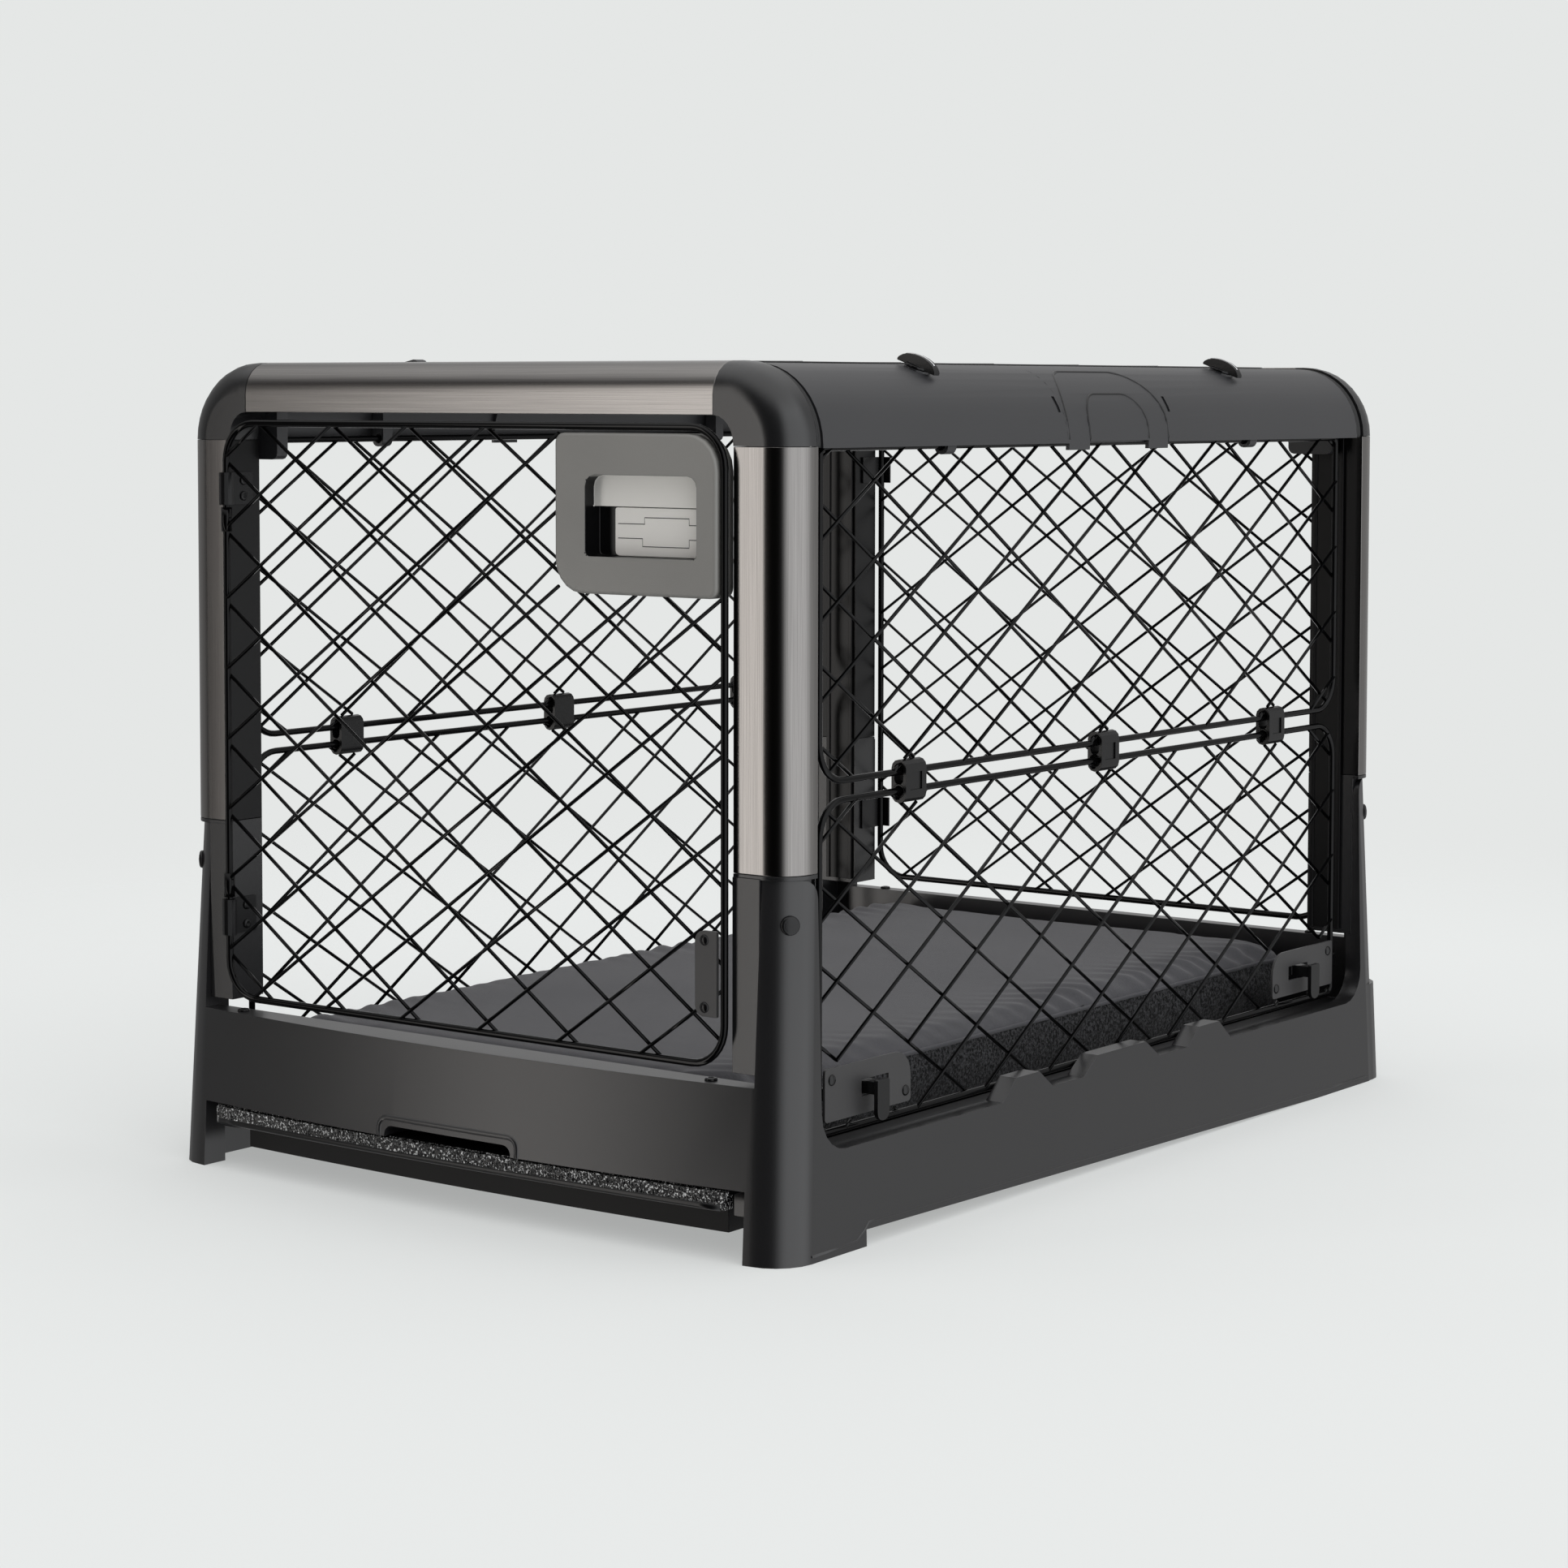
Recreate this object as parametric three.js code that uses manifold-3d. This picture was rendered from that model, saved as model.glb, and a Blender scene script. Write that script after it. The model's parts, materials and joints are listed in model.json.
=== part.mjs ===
// Collapsible wire dog crate: a moulded base, two aluminium end frames, folding wire side walls, a roof with
// two moulded side rails and a wire hatch, a front door with a sliding latch, a pull-out tray and a mat.
// Millimetres, +Z up, +X to the right, the door at the front facing -Y, origin at the bottom centre.
import * as THREE from 'three';
import { mergeVertices } from 'three/addons/utils/BufferGeometryUtils.js';
import Module from 'manifold-3d';

const wasm = await Module();
wasm.setup();

// ---- driving dimensions ----
const GAP = 0.3;                 // running gap between touching pieces
const HEIGHT = 675;              // top of the end frames
const HALF_WIDTH = 318;          // outer face of the posts
const HALF_LENGTH = 465;         // front face of the front posts, rear face of the rear posts
const POST_WIDTH = 53;
const POST_DEPTH = 35;
const POST_ROUND = 26;           // outer corner of posts, elbows and top bars
const POST_WALL = 3;
const ELBOW_RADIUS = 64;
const ELBOW_DEPTH = 33;
const BAR_HEIGHT = 41;
const BAR_SEAM = 246;            // half length of the top bars
const ELBOW_SEAM = HEIGHT - ELBOW_RADIUS;
const FOOT_SEAM = 291.5;         // joint between an aluminium post and its plastic foot
const FOOT_BOTTOM = 141;
const FOOT_FACE = 290.5;         // edge of the strip of foot seen beside the pillar

const TAPER = [0.0215, 0.03125]; // share of width and length that the base loses up to the pillar tops
const BASE_HALF = [325, 480];    // base at the floor
const BASE_BOW = 17;             // swell of the front face at mid width
const BUMPER = [487, 92];        // rear bumper: distance from the centre and height
const BUMPER_BOW = 7.2;
const REAR_FACE = 478;
const PILLAR_TOP = 288;
const PILLAR_EDGE = 430;
const BEAM_TOP = 133;            // front and rear ledges under the door and the rear panel
const BEAM_INSIDE = 456;
const WALL_INSIDE = 306.5;
const SIDE_TOP = [97, 82, 80];   // side beam: raised stretches, middle dip, long low stretch
const ARCH_TOP = 13;             // lift of the base behind the front feet and between the rear feet
const ARCH_SPAN = [-375, 400];   // the side arches sink to the floor from the front feet to the rear
const OPENING = [285.6, 55];     // tray opening in the front beam: half width and height
const NOTCH = [67, 64];          // finger notch at the middle of that opening
const PIVOT_LEVEL = 255;         // end frame pivot screws
const SCREW_TURN = 40;           // degrees from the side towards the end, round the pillar's corner
const BASE_ROUND = 34;

const FRAME_WIRE = 5.5;          // border wires of the side panels
const DOOR_WIRE = 6;
const LATTICE_WIRE = 3;
const LAYER = 2.25;              // depth of one layer of diagonal wires
const SIDE_PLANE = 302;          // plane of the side walls
const WALL_HALF = 407;           // half length of a side panel, to its border wire
const LOWER_PIVOT = 88.5;
const LOWER_MID = 341.5;         // the two middle wires, held together by the clips
const UPPER_MID = 356.5;
const UPPER_PIVOT = 609.5;
const SIDE_CELL = [48, 30.5];    // half diagonals of a side diamond
const CLIP_SPACING = 288;
const CLIP = [14, 28, 34];
const PIVOT_HOLE = 4.3;
const SLOT_SPAN = [350.7, 358.8];  // centres of the ends of the upper slot of a clip
const BUSH = [4.15, 5.3];        // inner and outer radius
const CLIP_ROUND = 6.9;
const CLIP_WINDOW = [1.2, 8, 7]; // depth, half length and half height of the window in a clip's face

const DOOR_PLANE = 471.5;
const DOOR_HALF = 262;
const DOOR_SPAN = [145.5, 625];
const DOOR_CORNER = 31;
const DOOR_CELL = [41.4, 29.4];
const HOUSING_X = [100, 258];
const HOUSING_Z = [497, 620];
const HOUSING_Y = [-477, -455];
const RECESS_X = [131, 239];
const RECESS_Z = [526, 588];
const SLIDER_TOP = 563.4;
const STRIKE_SPAN = [183, 248];  // strike plate on the latch side of the door

const RAIL_END = 422;
const RAIL_RADIUS = 62.5;
const RAIL_WALL = 3;
const RAIL_AXIS = HALF_WIDTH - ELBOW_RADIUS;
const RAIL_INNER = 240;
const BRACKET_Y = 240;           // pivot brackets and turn latches
const BEAM_SPAN = [411, 424];    // roof cross beams, along the crate
const GRIP_OUTER = [79, 604, 668];  // carrying handle: half width, bottom, top
const GRIP_INNER = [47, 608, 650];
const GRIP_SHELL = [58.6, 62.4];
const GRIP_FLOOR = [55.7, 58.2];
const LATCH_TILT = 20;           // degrees from vertical, square to the curved rail
const KNOB_BASE = 63.6;

const HATCH_HALF = [233.5, 402];
const HATCH_LEVEL = 672.7;
const HATCH_WIRE = 5;
const HATCH_CELL = [46.7, 67];
const HINGE_Y = 268;

const TRAY_TOP = 54;
const TRAY_HALF = 271;
const TRAY_FRONT = 482;
const TRAY_REAR = 440;
const MAT_HALF = [250, 451];
const MAT_TOP = 126;
const MAT_EDGE = 8;

// ---- materials ----
function finish(color, roughness, metalness = 0) {
  return new THREE.MeshStandardMaterial({ color, roughness, metalness });
}

const PLASTIC = finish(0x3d3d40, 0.6);
const RAIL_PLASTIC = finish(0x47484c, 0.55);
const BLACK_PLASTIC = finish(0x151517, 0.5);
const ALUMINIUM = finish(0x8c8781, 0.32, 0.9);
const WIRE = finish(0x0c0c0d, 0.35, 0.4);
const STEEL_PLATE = finish(0x6b6a69, 0.45, 0.6);
const BLACK_STEEL = finish(0x101012, 0.4, 0.6);
const HOUSING = finish(0x64625f, 0.6);
const TRAY_PLASTIC = finish(0x1b1b1c, 0.45);
const FABRIC = finish(0x2e2e31, 0.95);

// ---- solids ----
const axis = (x, y, z) => new THREE.Vector3(x, y, z);
const point = (a, b) => new THREE.Vector2(a, b);

const ALONG = {
  x: new THREE.Matrix4().makeBasis(axis(0, 1, 0), axis(0, 0, 1), axis(1, 0, 0)),
  y: new THREE.Matrix4().makeBasis(axis(1, 0, 0), axis(0, 0, 1), axis(0, -1, 0)),
  z: new THREE.Matrix4(),
};

function solid(geometry) {
  const bare = geometry.index ? geometry.toNonIndexed() : geometry.clone();
  bare.deleteAttribute('normal');
  bare.deleteAttribute('uv');
  const merged = mergeVertices(bare, 1e-4);
  const vertProperties = new Float32Array(merged.attributes.position.array);
  const triVerts = new Uint32Array(merged.index.array);
  return new wasm.Manifold(new wasm.Mesh({ numProp: 3, vertProperties, triVerts }));
}

function toGeometry(body) {
  const mesh = body.getMesh();
  const geometry = new THREE.BufferGeometry();
  geometry.setAttribute('position', new THREE.BufferAttribute(new Float32Array(mesh.vertProperties), 3));
  geometry.setIndex(new THREE.BufferAttribute(new Uint32Array(mesh.triVerts), 1));
  return geometry;
}

// Mirror image of a body: sx and sy are 1 or -1. An odd mirror turns the faces round again.
function mirrored(body, sx, sy) {
  const geometry = toGeometry(body).scale(sx, sy, 1);
  if (sx * sy < 0) {
    const index = geometry.index.array;
    for (let i = 0; i < index.length; i += 3) [index[i], index[i + 1]] = [index[i + 1], index[i]];
  }
  return solid(geometry);
}

function union(bodies) {
  return bodies.reduce((sum, body) => sum.add(body));
}

// Extrudes a shape along x (drawn in y, z), along y (drawn in x, z) or along z (drawn in x, y).
function extrude(shape, along, from, to, options = {}) {
  const settings = { depth: to - from, bevelEnabled: false, curveSegments: 8, ...options };
  const geometry = new THREE.ExtrudeGeometry(shape, settings);
  geometry.translate(0, 0, along === 'y' ? -to : from);
  return solid(geometry.applyMatrix4(ALONG[along]));
}

function box(x0, x1, y0, y1, z0, z1) {
  const geometry = new THREE.BoxGeometry(x1 - x0, y1 - y0, z1 - z0);
  return solid(geometry.translate((x0 + x1) / 2, (y0 + y1) / 2, (z0 + z1) / 2));
}

// Points on an arc, angles in degrees; a zero radius is one plain corner.
function arc(a, b, radius, from, to, steps = 6) {
  if (radius === 0) return [point(a, b)];
  return Array.from({ length: steps + 1 }, (_, i) => {
    const angle = THREE.MathUtils.degToRad(from + (to - from) * i / steps);
    return point(a + radius * Math.cos(angle), b + radius * Math.sin(angle));
  });
}

const polygon = (...pieces) => new THREE.Shape(pieces.flat());

// Rectangle with its own radius at each corner: lower left, lower right, upper right, upper left.
function rectangle(a0, a1, b0, b1, [r0, r1, r2, r3] = [0, 0, 0, 0], steps = 5) {
  return polygon(
    arc(a0 + r0, b0 + r0, r0, 180, 270, steps),
    arc(a1 - r1, b0 + r1, r1, 270, 360, steps),
    arc(a1 - r2, b1 - r2, r2, 0, 90, steps),
    arc(a0 + r3, b1 - r3, r3, 90, 180, steps),
  );
}

function circle(a, b, radius) {
  return polygon(arc(a, b, radius, 0, 330, 11));
}

function ringShape(a, b, inner, outer) {
  const shape = circle(a, b, outer);
  shape.holes.push(circle(a, b, inner));
  return shape;
}

function framed(outer, inner) {
  outer.holes.push(inner);
  return outer;
}

// Stretch of a round shell about the axis of a roof rail, between two angles from horizontal.
function shell(inner, outer, y0, y1, from = 0, to = 90, steps = 10) {
  const shape = polygon(
    arc(RAIL_AXIS, ELBOW_SEAM, outer, from, to, steps),
    arc(RAIL_AXIS, ELBOW_SEAM, inner, to, from, steps),
  );
  return extrude(shape, 'y', y0, y1);
}

// Low domed head, turned about the x axis, with its back at x = 0.
function dome(radius, rise) {
  const profile = [point(0, 0), ...arc(0, 0, 1, 0, 90, 2).map((p) => point(radius * p.x, 0.6 + rise * p.y))];
  profile.splice(1, 0, point(radius, 0));
  return new THREE.LatheGeometry(profile, 10).rotateZ(-Math.PI / 2);
}

// ---- scene graph ----
const crate = new THREE.Group();

function place(name, body, material, position = [0, 0, 0]) {
  const mesh = new THREE.Mesh(toGeometry(body), material);
  mesh.name = name;
  mesh.position.set(...position);
  crate.add(mesh);
}

const ENDS = { front: 1, rear: -1 };
const SIDES = { left: -1, right: 1 };

// Every corner piece is drawn at the front right and mirrored to the other three corners.
function placeCorners(name, body, material) {
  for (const [end, sy] of Object.entries(ENDS)) {
    for (const [side, sx] of Object.entries(SIDES)) {
      place(`${end}_${side}_${name}`, mirrored(body, sx, sy), material);
    }
  }
}

function placeSides(name, body, material) {
  for (const [side, sx] of Object.entries(SIDES)) place(`${side}_${name}`, mirrored(body, sx, 1), material);
}

// ---- end frames ----
// Section of a post in x, y, with its outer front corner a quarter round; inset gives the hollow.
function postSection(inset = 0) {
  const [x0, x1] = [HALF_WIDTH - POST_WIDTH + inset, HALF_WIDTH - inset];
  const [y0, y1] = [-HALF_LENGTH + inset, -HALF_LENGTH + POST_DEPTH - inset];
  return rectangle(x0, x1, y0, y1, [0, POST_ROUND - inset, 0, 0], 6);
}

// Section of a top bar in y, z, with the same quarter round at the top of its face.
function barSection(inset = 0) {
  const [y0, y1] = [-HALF_LENGTH + inset, -HALF_LENGTH + ELBOW_DEPTH - inset];
  return rectangle(y0, y1, HEIGHT - BAR_HEIGHT + inset, HEIGHT - inset, [0, 0, 0, POST_ROUND - inset], 6);
}

// A foot shows a strip of its face beside the base pillar and is set back where the pillar covers it.
function footSection(grow = 0) {
  const [x0, x1] = [HALF_WIDTH - POST_WIDTH - grow, HALF_WIDTH - 6 + grow];
  const [y0, y1] = [-HALF_LENGTH + 4.5 - grow, -HALF_LENGTH + POST_DEPTH + grow];
  return polygon(
    [point(x0, -HALF_LENGTH - 1 - grow), point(FOOT_FACE + grow, -HALF_LENGTH - 1 - grow)],
    [point(FOOT_FACE + grow, y0)],
    arc(x1 - 20, y0 + 20, 20, 270, 360, 4),
    [point(x1, y1), point(x0, y1)],
  );
}

function foot() {
  const collar = extrude(postSection(), 'z', PILLAR_TOP + GAP, FOOT_SEAM);
  return extrude(footSection(), 'z', FOOT_BOTTOM, PILLAR_TOP + 1).add(collar);
}

// The elbow carries the post's section round a quarter circle; its inner edge is a tighter curve.
function elbow() {
  const inner = ELBOW_RADIUS - BAR_HEIGHT;
  const [y0, y1] = [-HALF_LENGTH, -HALF_LENGTH + ELBOW_DEPTH];
  const profile = [
    point(inner, y0),
    ...arc(ELBOW_RADIUS - POST_ROUND, y0 + POST_ROUND, POST_ROUND, 270, 360),
    point(ELBOW_RADIUS, y1),
    point(inner, y1),
    point(inner, y0),
  ];
  const ring = new THREE.LatheGeometry(profile, 40).translate(RAIL_AXIS, 0, ELBOW_SEAM);
  const quarter = box(RAIL_AXIS, HALF_WIDTH + 1, y0 - 1, y1 + 1, ELBOW_SEAM, HEIGHT + 1);
  const straight = extrude(barSection(), 'x', BAR_SEAM, RAIL_AXIS + 0.1);
  const [x0, z0] = [HALF_WIDTH - POST_WIDTH, HEIGHT - BAR_HEIGHT];
  const curve = arc(0, 0, 1, 0, 90).map((p) => point(
    BAR_SEAM + (x0 - BAR_SEAM) * p.x, ELBOW_SEAM + (z0 - ELBOW_SEAM) * p.y));
  const web = polygon(curve, [point(BAR_SEAM, z0 + 4), point(x0 + 14, z0 + 4), point(x0 + 14, ELBOW_SEAM)]);
  return union([solid(ring).intersect(quarter), straight, extrude(web, 'y', y0, y1)]);
}

// Black channel on the cabin side of each post, which guides the roof ends as they come down.
function trackLiner() {
  const y = -HALF_LENGTH + POST_DEPTH + GAP;
  const [x0, x1, lip] = [268, 300, 4];
  const section = polygon([
    point(x0, y), point(x1, y), point(x1, y + 2.7), point(x1 - lip, y + 2.7),
    point(x1 - lip, y + 1.2), point(x0 + lip, y + 1.2), point(x0 + lip, y + 2.7), point(x0, y + 2.7)]);
  return extrude(section, 'z', FOOT_BOTTOM + 4, ELBOW_SEAM - 2);
}

const post = extrude(framed(postSection(), postSection(POST_WALL)), 'z', FOOT_SEAM + GAP, ELBOW_SEAM - GAP);
placeCorners('post', post, ALUMINIUM);
placeCorners('foot', foot(), PLASTIC);
placeCorners('elbow', elbow(), PLASTIC);
placeCorners('track_liner', trackLiner(), BLACK_PLASTIC);
const bar = extrude(framed(barSection(), barSection(POST_WALL)), 'x', -BAR_SEAM + GAP, BAR_SEAM - GAP);
for (const [end, sy] of Object.entries(ENDS)) {
  place(`${end}_top_bar`, mirrored(bar, 1, sy), ALUMINIUM);
}

// ---- base ----
// The base narrows with height: points move towards the middle in proportion to their height.
function tapered(shape, from, to) {
  const geometry = new THREE.ExtrudeGeometry(shape, { depth: to - from, bevelEnabled: false });
  geometry.translate(0, 0, from);
  const position = geometry.attributes.position;
  for (let i = 0; i < position.count; i += 1) {
    const share = position.getZ(i) / PILLAR_TOP;
    position.setX(i, position.getX(i) * (1 - TAPER[0] * share));
    position.setY(i, position.getY(i) * (1 - TAPER[1] * share));
  }
  return solid(geometry);
}

// Edge from x = -half to half that swells outwards by a parabola.
function bow(half, edge, swell, steps = 10) {
  return Array.from({ length: steps + 1 }, (_, i) => {
    const x = half * (2 * i / steps - 1);
    return point(x, edge + swell * (1 - (x / half) ** 2));
  });
}

function baseOutline() {
  const [half, front] = BASE_HALF;
  const round = BASE_ROUND;
  return polygon(
    bow(half - round, -front, -BASE_BOW),
    arc(half - round, -front + round, round, 290, 360, 4),
    arc(half - round, REAR_FACE - round, round, 0, 90, 4),
    arc(-half + round, REAR_FACE - round, round, 90, 180, 4),
    arc(-half + round, -front + round, round, 180, 250, 4),
  );
}

// Thick band along the foot of the rear face, a little narrower than the base so that it dies into its sides.
function bumper() {
  const half = BASE_HALF[0] - 0.4;
  const round = BASE_ROUND;
  const rear = BUMPER[0];
  const shape = polygon(
    [point(-half, BEAM_INSIDE - 30), point(half, BEAM_INSIDE - 30)],
    arc(half - round, rear - round, round, 0, 70, 4),
    bow(half - round, rear, BUMPER_BOW).reverse(),
    arc(-half + round, rear - round, round, 110, 180, 4),
  );
  return tapered(shape, 0.4, BUMPER[1]);
}

// Region above the side beams, seen from the side: two raised stretches each way, then the long low
// stretch that sweeps up into the pillars.
function sideClearance() {
  const [raised, dip, low] = SIDE_TOP;
  const half = [
    point(0, raised), point(39, raised), point(61, dip), point(109, dip), point(129, raised),
    point(164, raised), point(184, low), ...arc(PILLAR_EDGE - 30, low + 30, 30, 270, 360, 5),
    ...arc(PILLAR_EDGE + 15, PILLAR_TOP - 15, 15, 180, 90, 4), point(PILLAR_EDGE + 15, PILLAR_TOP + 20),
  ];
  const other = half.slice(1).map((p) => point(-p.x, p.y)).reverse();
  return extrude(polygon(other, half), 'x', -400, 400);
}

function base() {
  const [openHalf, openTop] = OPENING;
  const [notchHalf, notchTop] = NOTCH;
  const [archFront, archRear] = ARCH_SPAN;
  const archProfile = polygon([point(archFront, -1), point(archRear, -1), point(archFront, ARCH_TOP)]);
  const gaps = [
    box(-FOOT_FACE - GAP, FOOT_FACE + GAP, -600, 600, BEAM_TOP, 400),
    box(-WALL_INSIDE, WALL_INSIDE, -BEAM_INSIDE, BEAM_INSIDE, -1, 400),
    sideClearance(),
    extrude(archProfile, 'x', -400, 400),
    box(-250, 250, 400, 600, -1, ARCH_TOP),
    box(-openHalf, openHalf, -600, -400, -1, openTop),
    extrude(rectangle(-notchHalf, notchHalf, openTop - 5, notchTop, [0, 0, 8, 8]), 'y', -600, -400),
  ];
  const pocket = extrude(footSection(GAP), 'z', FOOT_BOTTOM - GAP, 400);
  for (const sx of [1, -1]) {
    for (const sy of [1, -1]) gaps.push(mirrored(pocket, sx, sy));
  }
  const block = tapered(baseOutline(), 0, PILLAR_TOP).add(bumper());
  const body = gaps.reduce((rest, gap) => rest.subtract(gap), block);
  const ledge = box(260, WALL_INSIDE + 1, -BEAM_INSIDE - 1, BEAM_INSIDE + 1, 30, TRAY_TOP - 4 - GAP);
  const shelf = box(TRAY_HALF + 3, WALL_INSIDE + 1, -BEAM_INSIDE - 1, BEAM_INSIDE + 1, TRAY_TOP - 6, 74);
  const side = ledge.add(shelf);
  return union([body, side, mirrored(side, -1, 1), ...[-1, 1].map((sy) => pivotLug(sy * BRACKET_Y))]);
}

// Eye on the left side beam that the lower wire of the left wall turns in.
function pivotLug(y) {
  const lug = rectangle(-WALL_INSIDE - 4, -SIDE_PLANE + 6.2, 62, LOWER_PIVOT + 7, [0, 0, 6, 2]);
  return extrude(framed(lug, circle(-SIDE_PLANE, LOWER_PIVOT, PIVOT_HOLE)), 'y', y - 6, y + 6);
}

place('base_frame', base(), PLASTIC);
// Head of a screw that an end frame pivots on, set square to the rounded corner of a pillar.
function pivotScrew(endFace) {
  const turn = THREE.MathUtils.degToRad(-SCREW_TURN);
  const [narrow, short] = TAPER.map((share) => 1 - share * PIVOT_LEVEL / PILLAR_TOP);
  const reach = BASE_ROUND * narrow + GAP;
  const x = (BASE_HALF[0] - BASE_ROUND) * narrow + reach * Math.cos(turn);
  const y = (BASE_ROUND - endFace) * short + reach * Math.sin(turn);
  return solid(dome(6.5, 2.4).rotateZ(turn).translate(x, y, PIVOT_LEVEL));
}

const screws = { front: pivotScrew(BASE_HALF[1]), rear: pivotScrew(REAR_FACE) };
for (const [end, sy] of Object.entries(ENDS)) {
  for (const [side, sx] of Object.entries(SIDES)) {
    place(`${end}_${side}_pivot_screw`, mirrored(screws[end], sx, sy), BLACK_STEEL);
  }
}

// ---- wire panels ----
// Wire panel drawn flat in a, b: a border wire and two layers of thinner diagonal wires, one leaning each
// way, that meet in the panel's plane. One crossing lies at phase; the cutouts are left free of diagonals.
function wirePanel({ a, b, radii, wire, cell, phase, cutouts = [] }, along, plane) {
  const grow = wire / 2;
  const at = (offset, depth) => extrude(
    rectangle(a[0] - offset, a[1] + offset, b[0] - offset, b[1] + offset,
      radii.map((r) => Math.max(r + offset, 0.5)), 4),
    along, plane - depth / 2, plane + depth / 2);
  const border = at(grow, wire).subtract(at(-grow, wire + 2));
  const diagonals = [];
  const reach = Math.hypot(a[1] - a[0], b[1] - b[0]);
  for (const slope of [1, -1]) {
    const angle = slope * Math.atan2(cell[1], cell[0]);
    const run = (b[1] - b[0]) * cell[0] / cell[1] + a[1] - a[0];
    const count = Math.ceil(run / cell[0] / 2) + 1;
    for (let k = -count; k <= count; k += 1) {
      const strip = new THREE.BoxGeometry(2.4 * reach, LATTICE_WIRE, LAYER);
      strip.translate(0, 0, slope * LAYER / 2);
      strip.rotateZ(angle).translate(phase[0] + 2 * cell[0] * k, phase[1], along === 'y' ? -plane : plane);
      diagonals.push(solid(strip.applyMatrix4(ALONG[along])));
    }
  }
  const inside = at(-grow / 2, wire + 2);
  const lattice = cutouts.reduce((rest, cutout) => rest.subtract(cutout), union(diagonals).intersect(inside));
  return border.add(lattice);
}

const clipRows = [-CLIP_SPACING, 0, CLIP_SPACING];
const clipCentre = (LOWER_MID + UPPER_MID) / 2;

// The two diagonals that would pass under a clip stop just short of it.
function clipCutouts() {
  const [, length, height] = CLIP;
  return clipRows.map((y) => box(-400, 400, y - length / 2 - GAP, y + length / 2 + GAP,
    clipCentre - height / 2 - GAP, clipCentre + height / 2 + GAP));
}

function halfPanel(level, side, cutouts = []) {
  const lower = level === 'lower';
  const round = 30;
  return wirePanel({
    a: [-WALL_HALF, WALL_HALF],
    b: lower ? [LOWER_PIVOT, LOWER_MID] : [UPPER_MID, UPPER_PIVOT],
    radii: lower ? [6, 6, round, round] : [round, round, 6, 6],
    wire: FRAME_WIRE,
    cell: SIDE_CELL,
    phase: [0, lower ? LOWER_MID - SIDE_CELL[1] / 2 : UPPER_MID + SIDE_CELL[1] / 2],
    cutouts: [...clipCutouts(), ...cutouts],
  }, 'x', side * SIDE_PLANE);
}

// Latch plate in y, z at the lower front corner of the right wall.
const PLATE_Y = [-403.9, -290];
const PLATE_Z = [97, 138];
const PLATE_X = [303.9, 306];
const PLATE_RIVETS = [[-395, 129], [-297, 106]];
const BOLT_Z = [112, 122];

function plateShape(grow = 0) {
  return rectangle(PLATE_Y[0] - grow, PLATE_Y[1] + grow, PLATE_Z[0] - grow, PLATE_Z[1] + grow, [3, 3, 20, 3]);
}

const plateCutout = extrude(plateShape(4), 'x', 290, 320);

const panels = {
  left_lower_panel: halfPanel('lower', -1),
  left_upper_panel: halfPanel('upper', -1),
  right_upper_panel: halfPanel('upper', 1),
  right_lower_panel: halfPanel('lower', 1, [plateCutout, mirrored(plateCutout, 1, -1)]),
};
for (const [name, body] of Object.entries(panels)) place(name, body, WIRE);

// Clip that joins the middle wires of one wall: a flat-sided link with a round eye for the lower wire, a slot
// for the upper wire, which slides in it as the wall folds, and a window in its face.
function clip(lowerEye) {
  const [thick, length, height] = CLIP;
  const outline = rectangle(SIDE_PLANE - thick / 2, SIDE_PLANE + thick / 2, clipCentre - height / 2,
    clipCentre + height / 2, [CLIP_ROUND, CLIP_ROUND, CLIP_ROUND, CLIP_ROUND], 3);
  const eye = extrude(circle(SIDE_PLANE, LOWER_MID, lowerEye), 'y', -length, length);
  const round = Array(4).fill(PIVOT_HOLE - 0.1);
  const slot = extrude(rectangle(SIDE_PLANE - PIVOT_HOLE, SIDE_PLANE + PIVOT_HOLE, SLOT_SPAN[0] - PIVOT_HOLE,
    SLOT_SPAN[1] + PIVOT_HOLE, round, 4), 'y', -length, length);
  const [depth, half, rise] = CLIP_WINDOW;
  const face = SIDE_PLANE + thick / 2;
  const window = box(face - depth, face + depth, -half, half, clipCentre - rise, clipCentre + rise);
  const link = extrude(outline, 'y', -length / 2, length / 2);
  return [eye, slot, window].reduce((rest, gap) => rest.subtract(gap), link);
}

const CLIP_NAMES = ['front', 'middle', 'rear'];
const clips = { left: mirrored(clip(PIVOT_HOLE), -1, 1), right: clip(BUSH[1] + GAP) };
for (const [side, body] of Object.entries(clips)) {
  CLIP_NAMES.forEach((row, i) => place(`${side}_${row}_clip`, body, BLACK_PLASTIC, [0, clipRows[i], 0]));
}
for (const [end, sy] of Object.entries(ENDS)) {
  const bush = extrude(ringShape(SIDE_PLANE, LOWER_MID, BUSH[0], BUSH[1]), 'y', -CLIP[1] / 2, CLIP[1] / 2);
  place(`right_${end}_bush`, bush, BLACK_PLASTIC, [0, -sy * CLIP_SPACING, 0]);
}

// ---- side door latches ----
function latchPlate() {
  const slot = box(290, 320, -356, -320, BOLT_Z[0] - 1.5, BOLT_Z[1] + 1.5);
  const rivets = PLATE_RIVETS.map(([y, z]) => solid(dome(4, 1).translate(PLATE_X[1] - 0.4, y, z)));
  return union([extrude(plateShape(), 'x', ...PLATE_X), ...rivets]).subtract(slot);
}

// Bolt behind the plate, an arm through its slot and a finger tab outside the base.
function sideLatch() {
  const bolt = box(294, 298.5, -424, -330, ...BOLT_Z);
  const arm = box(298, 316.5, -352, -340, ...BOLT_Z);
  const tab = extrude(rectangle(-354, -338, BOLT_Z[0] - 20, BOLT_Z[1] + 2, [7, 7, 2, 2], 3), 'x', 316, 320);
  return union([bolt, arm, tab]);
}

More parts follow.
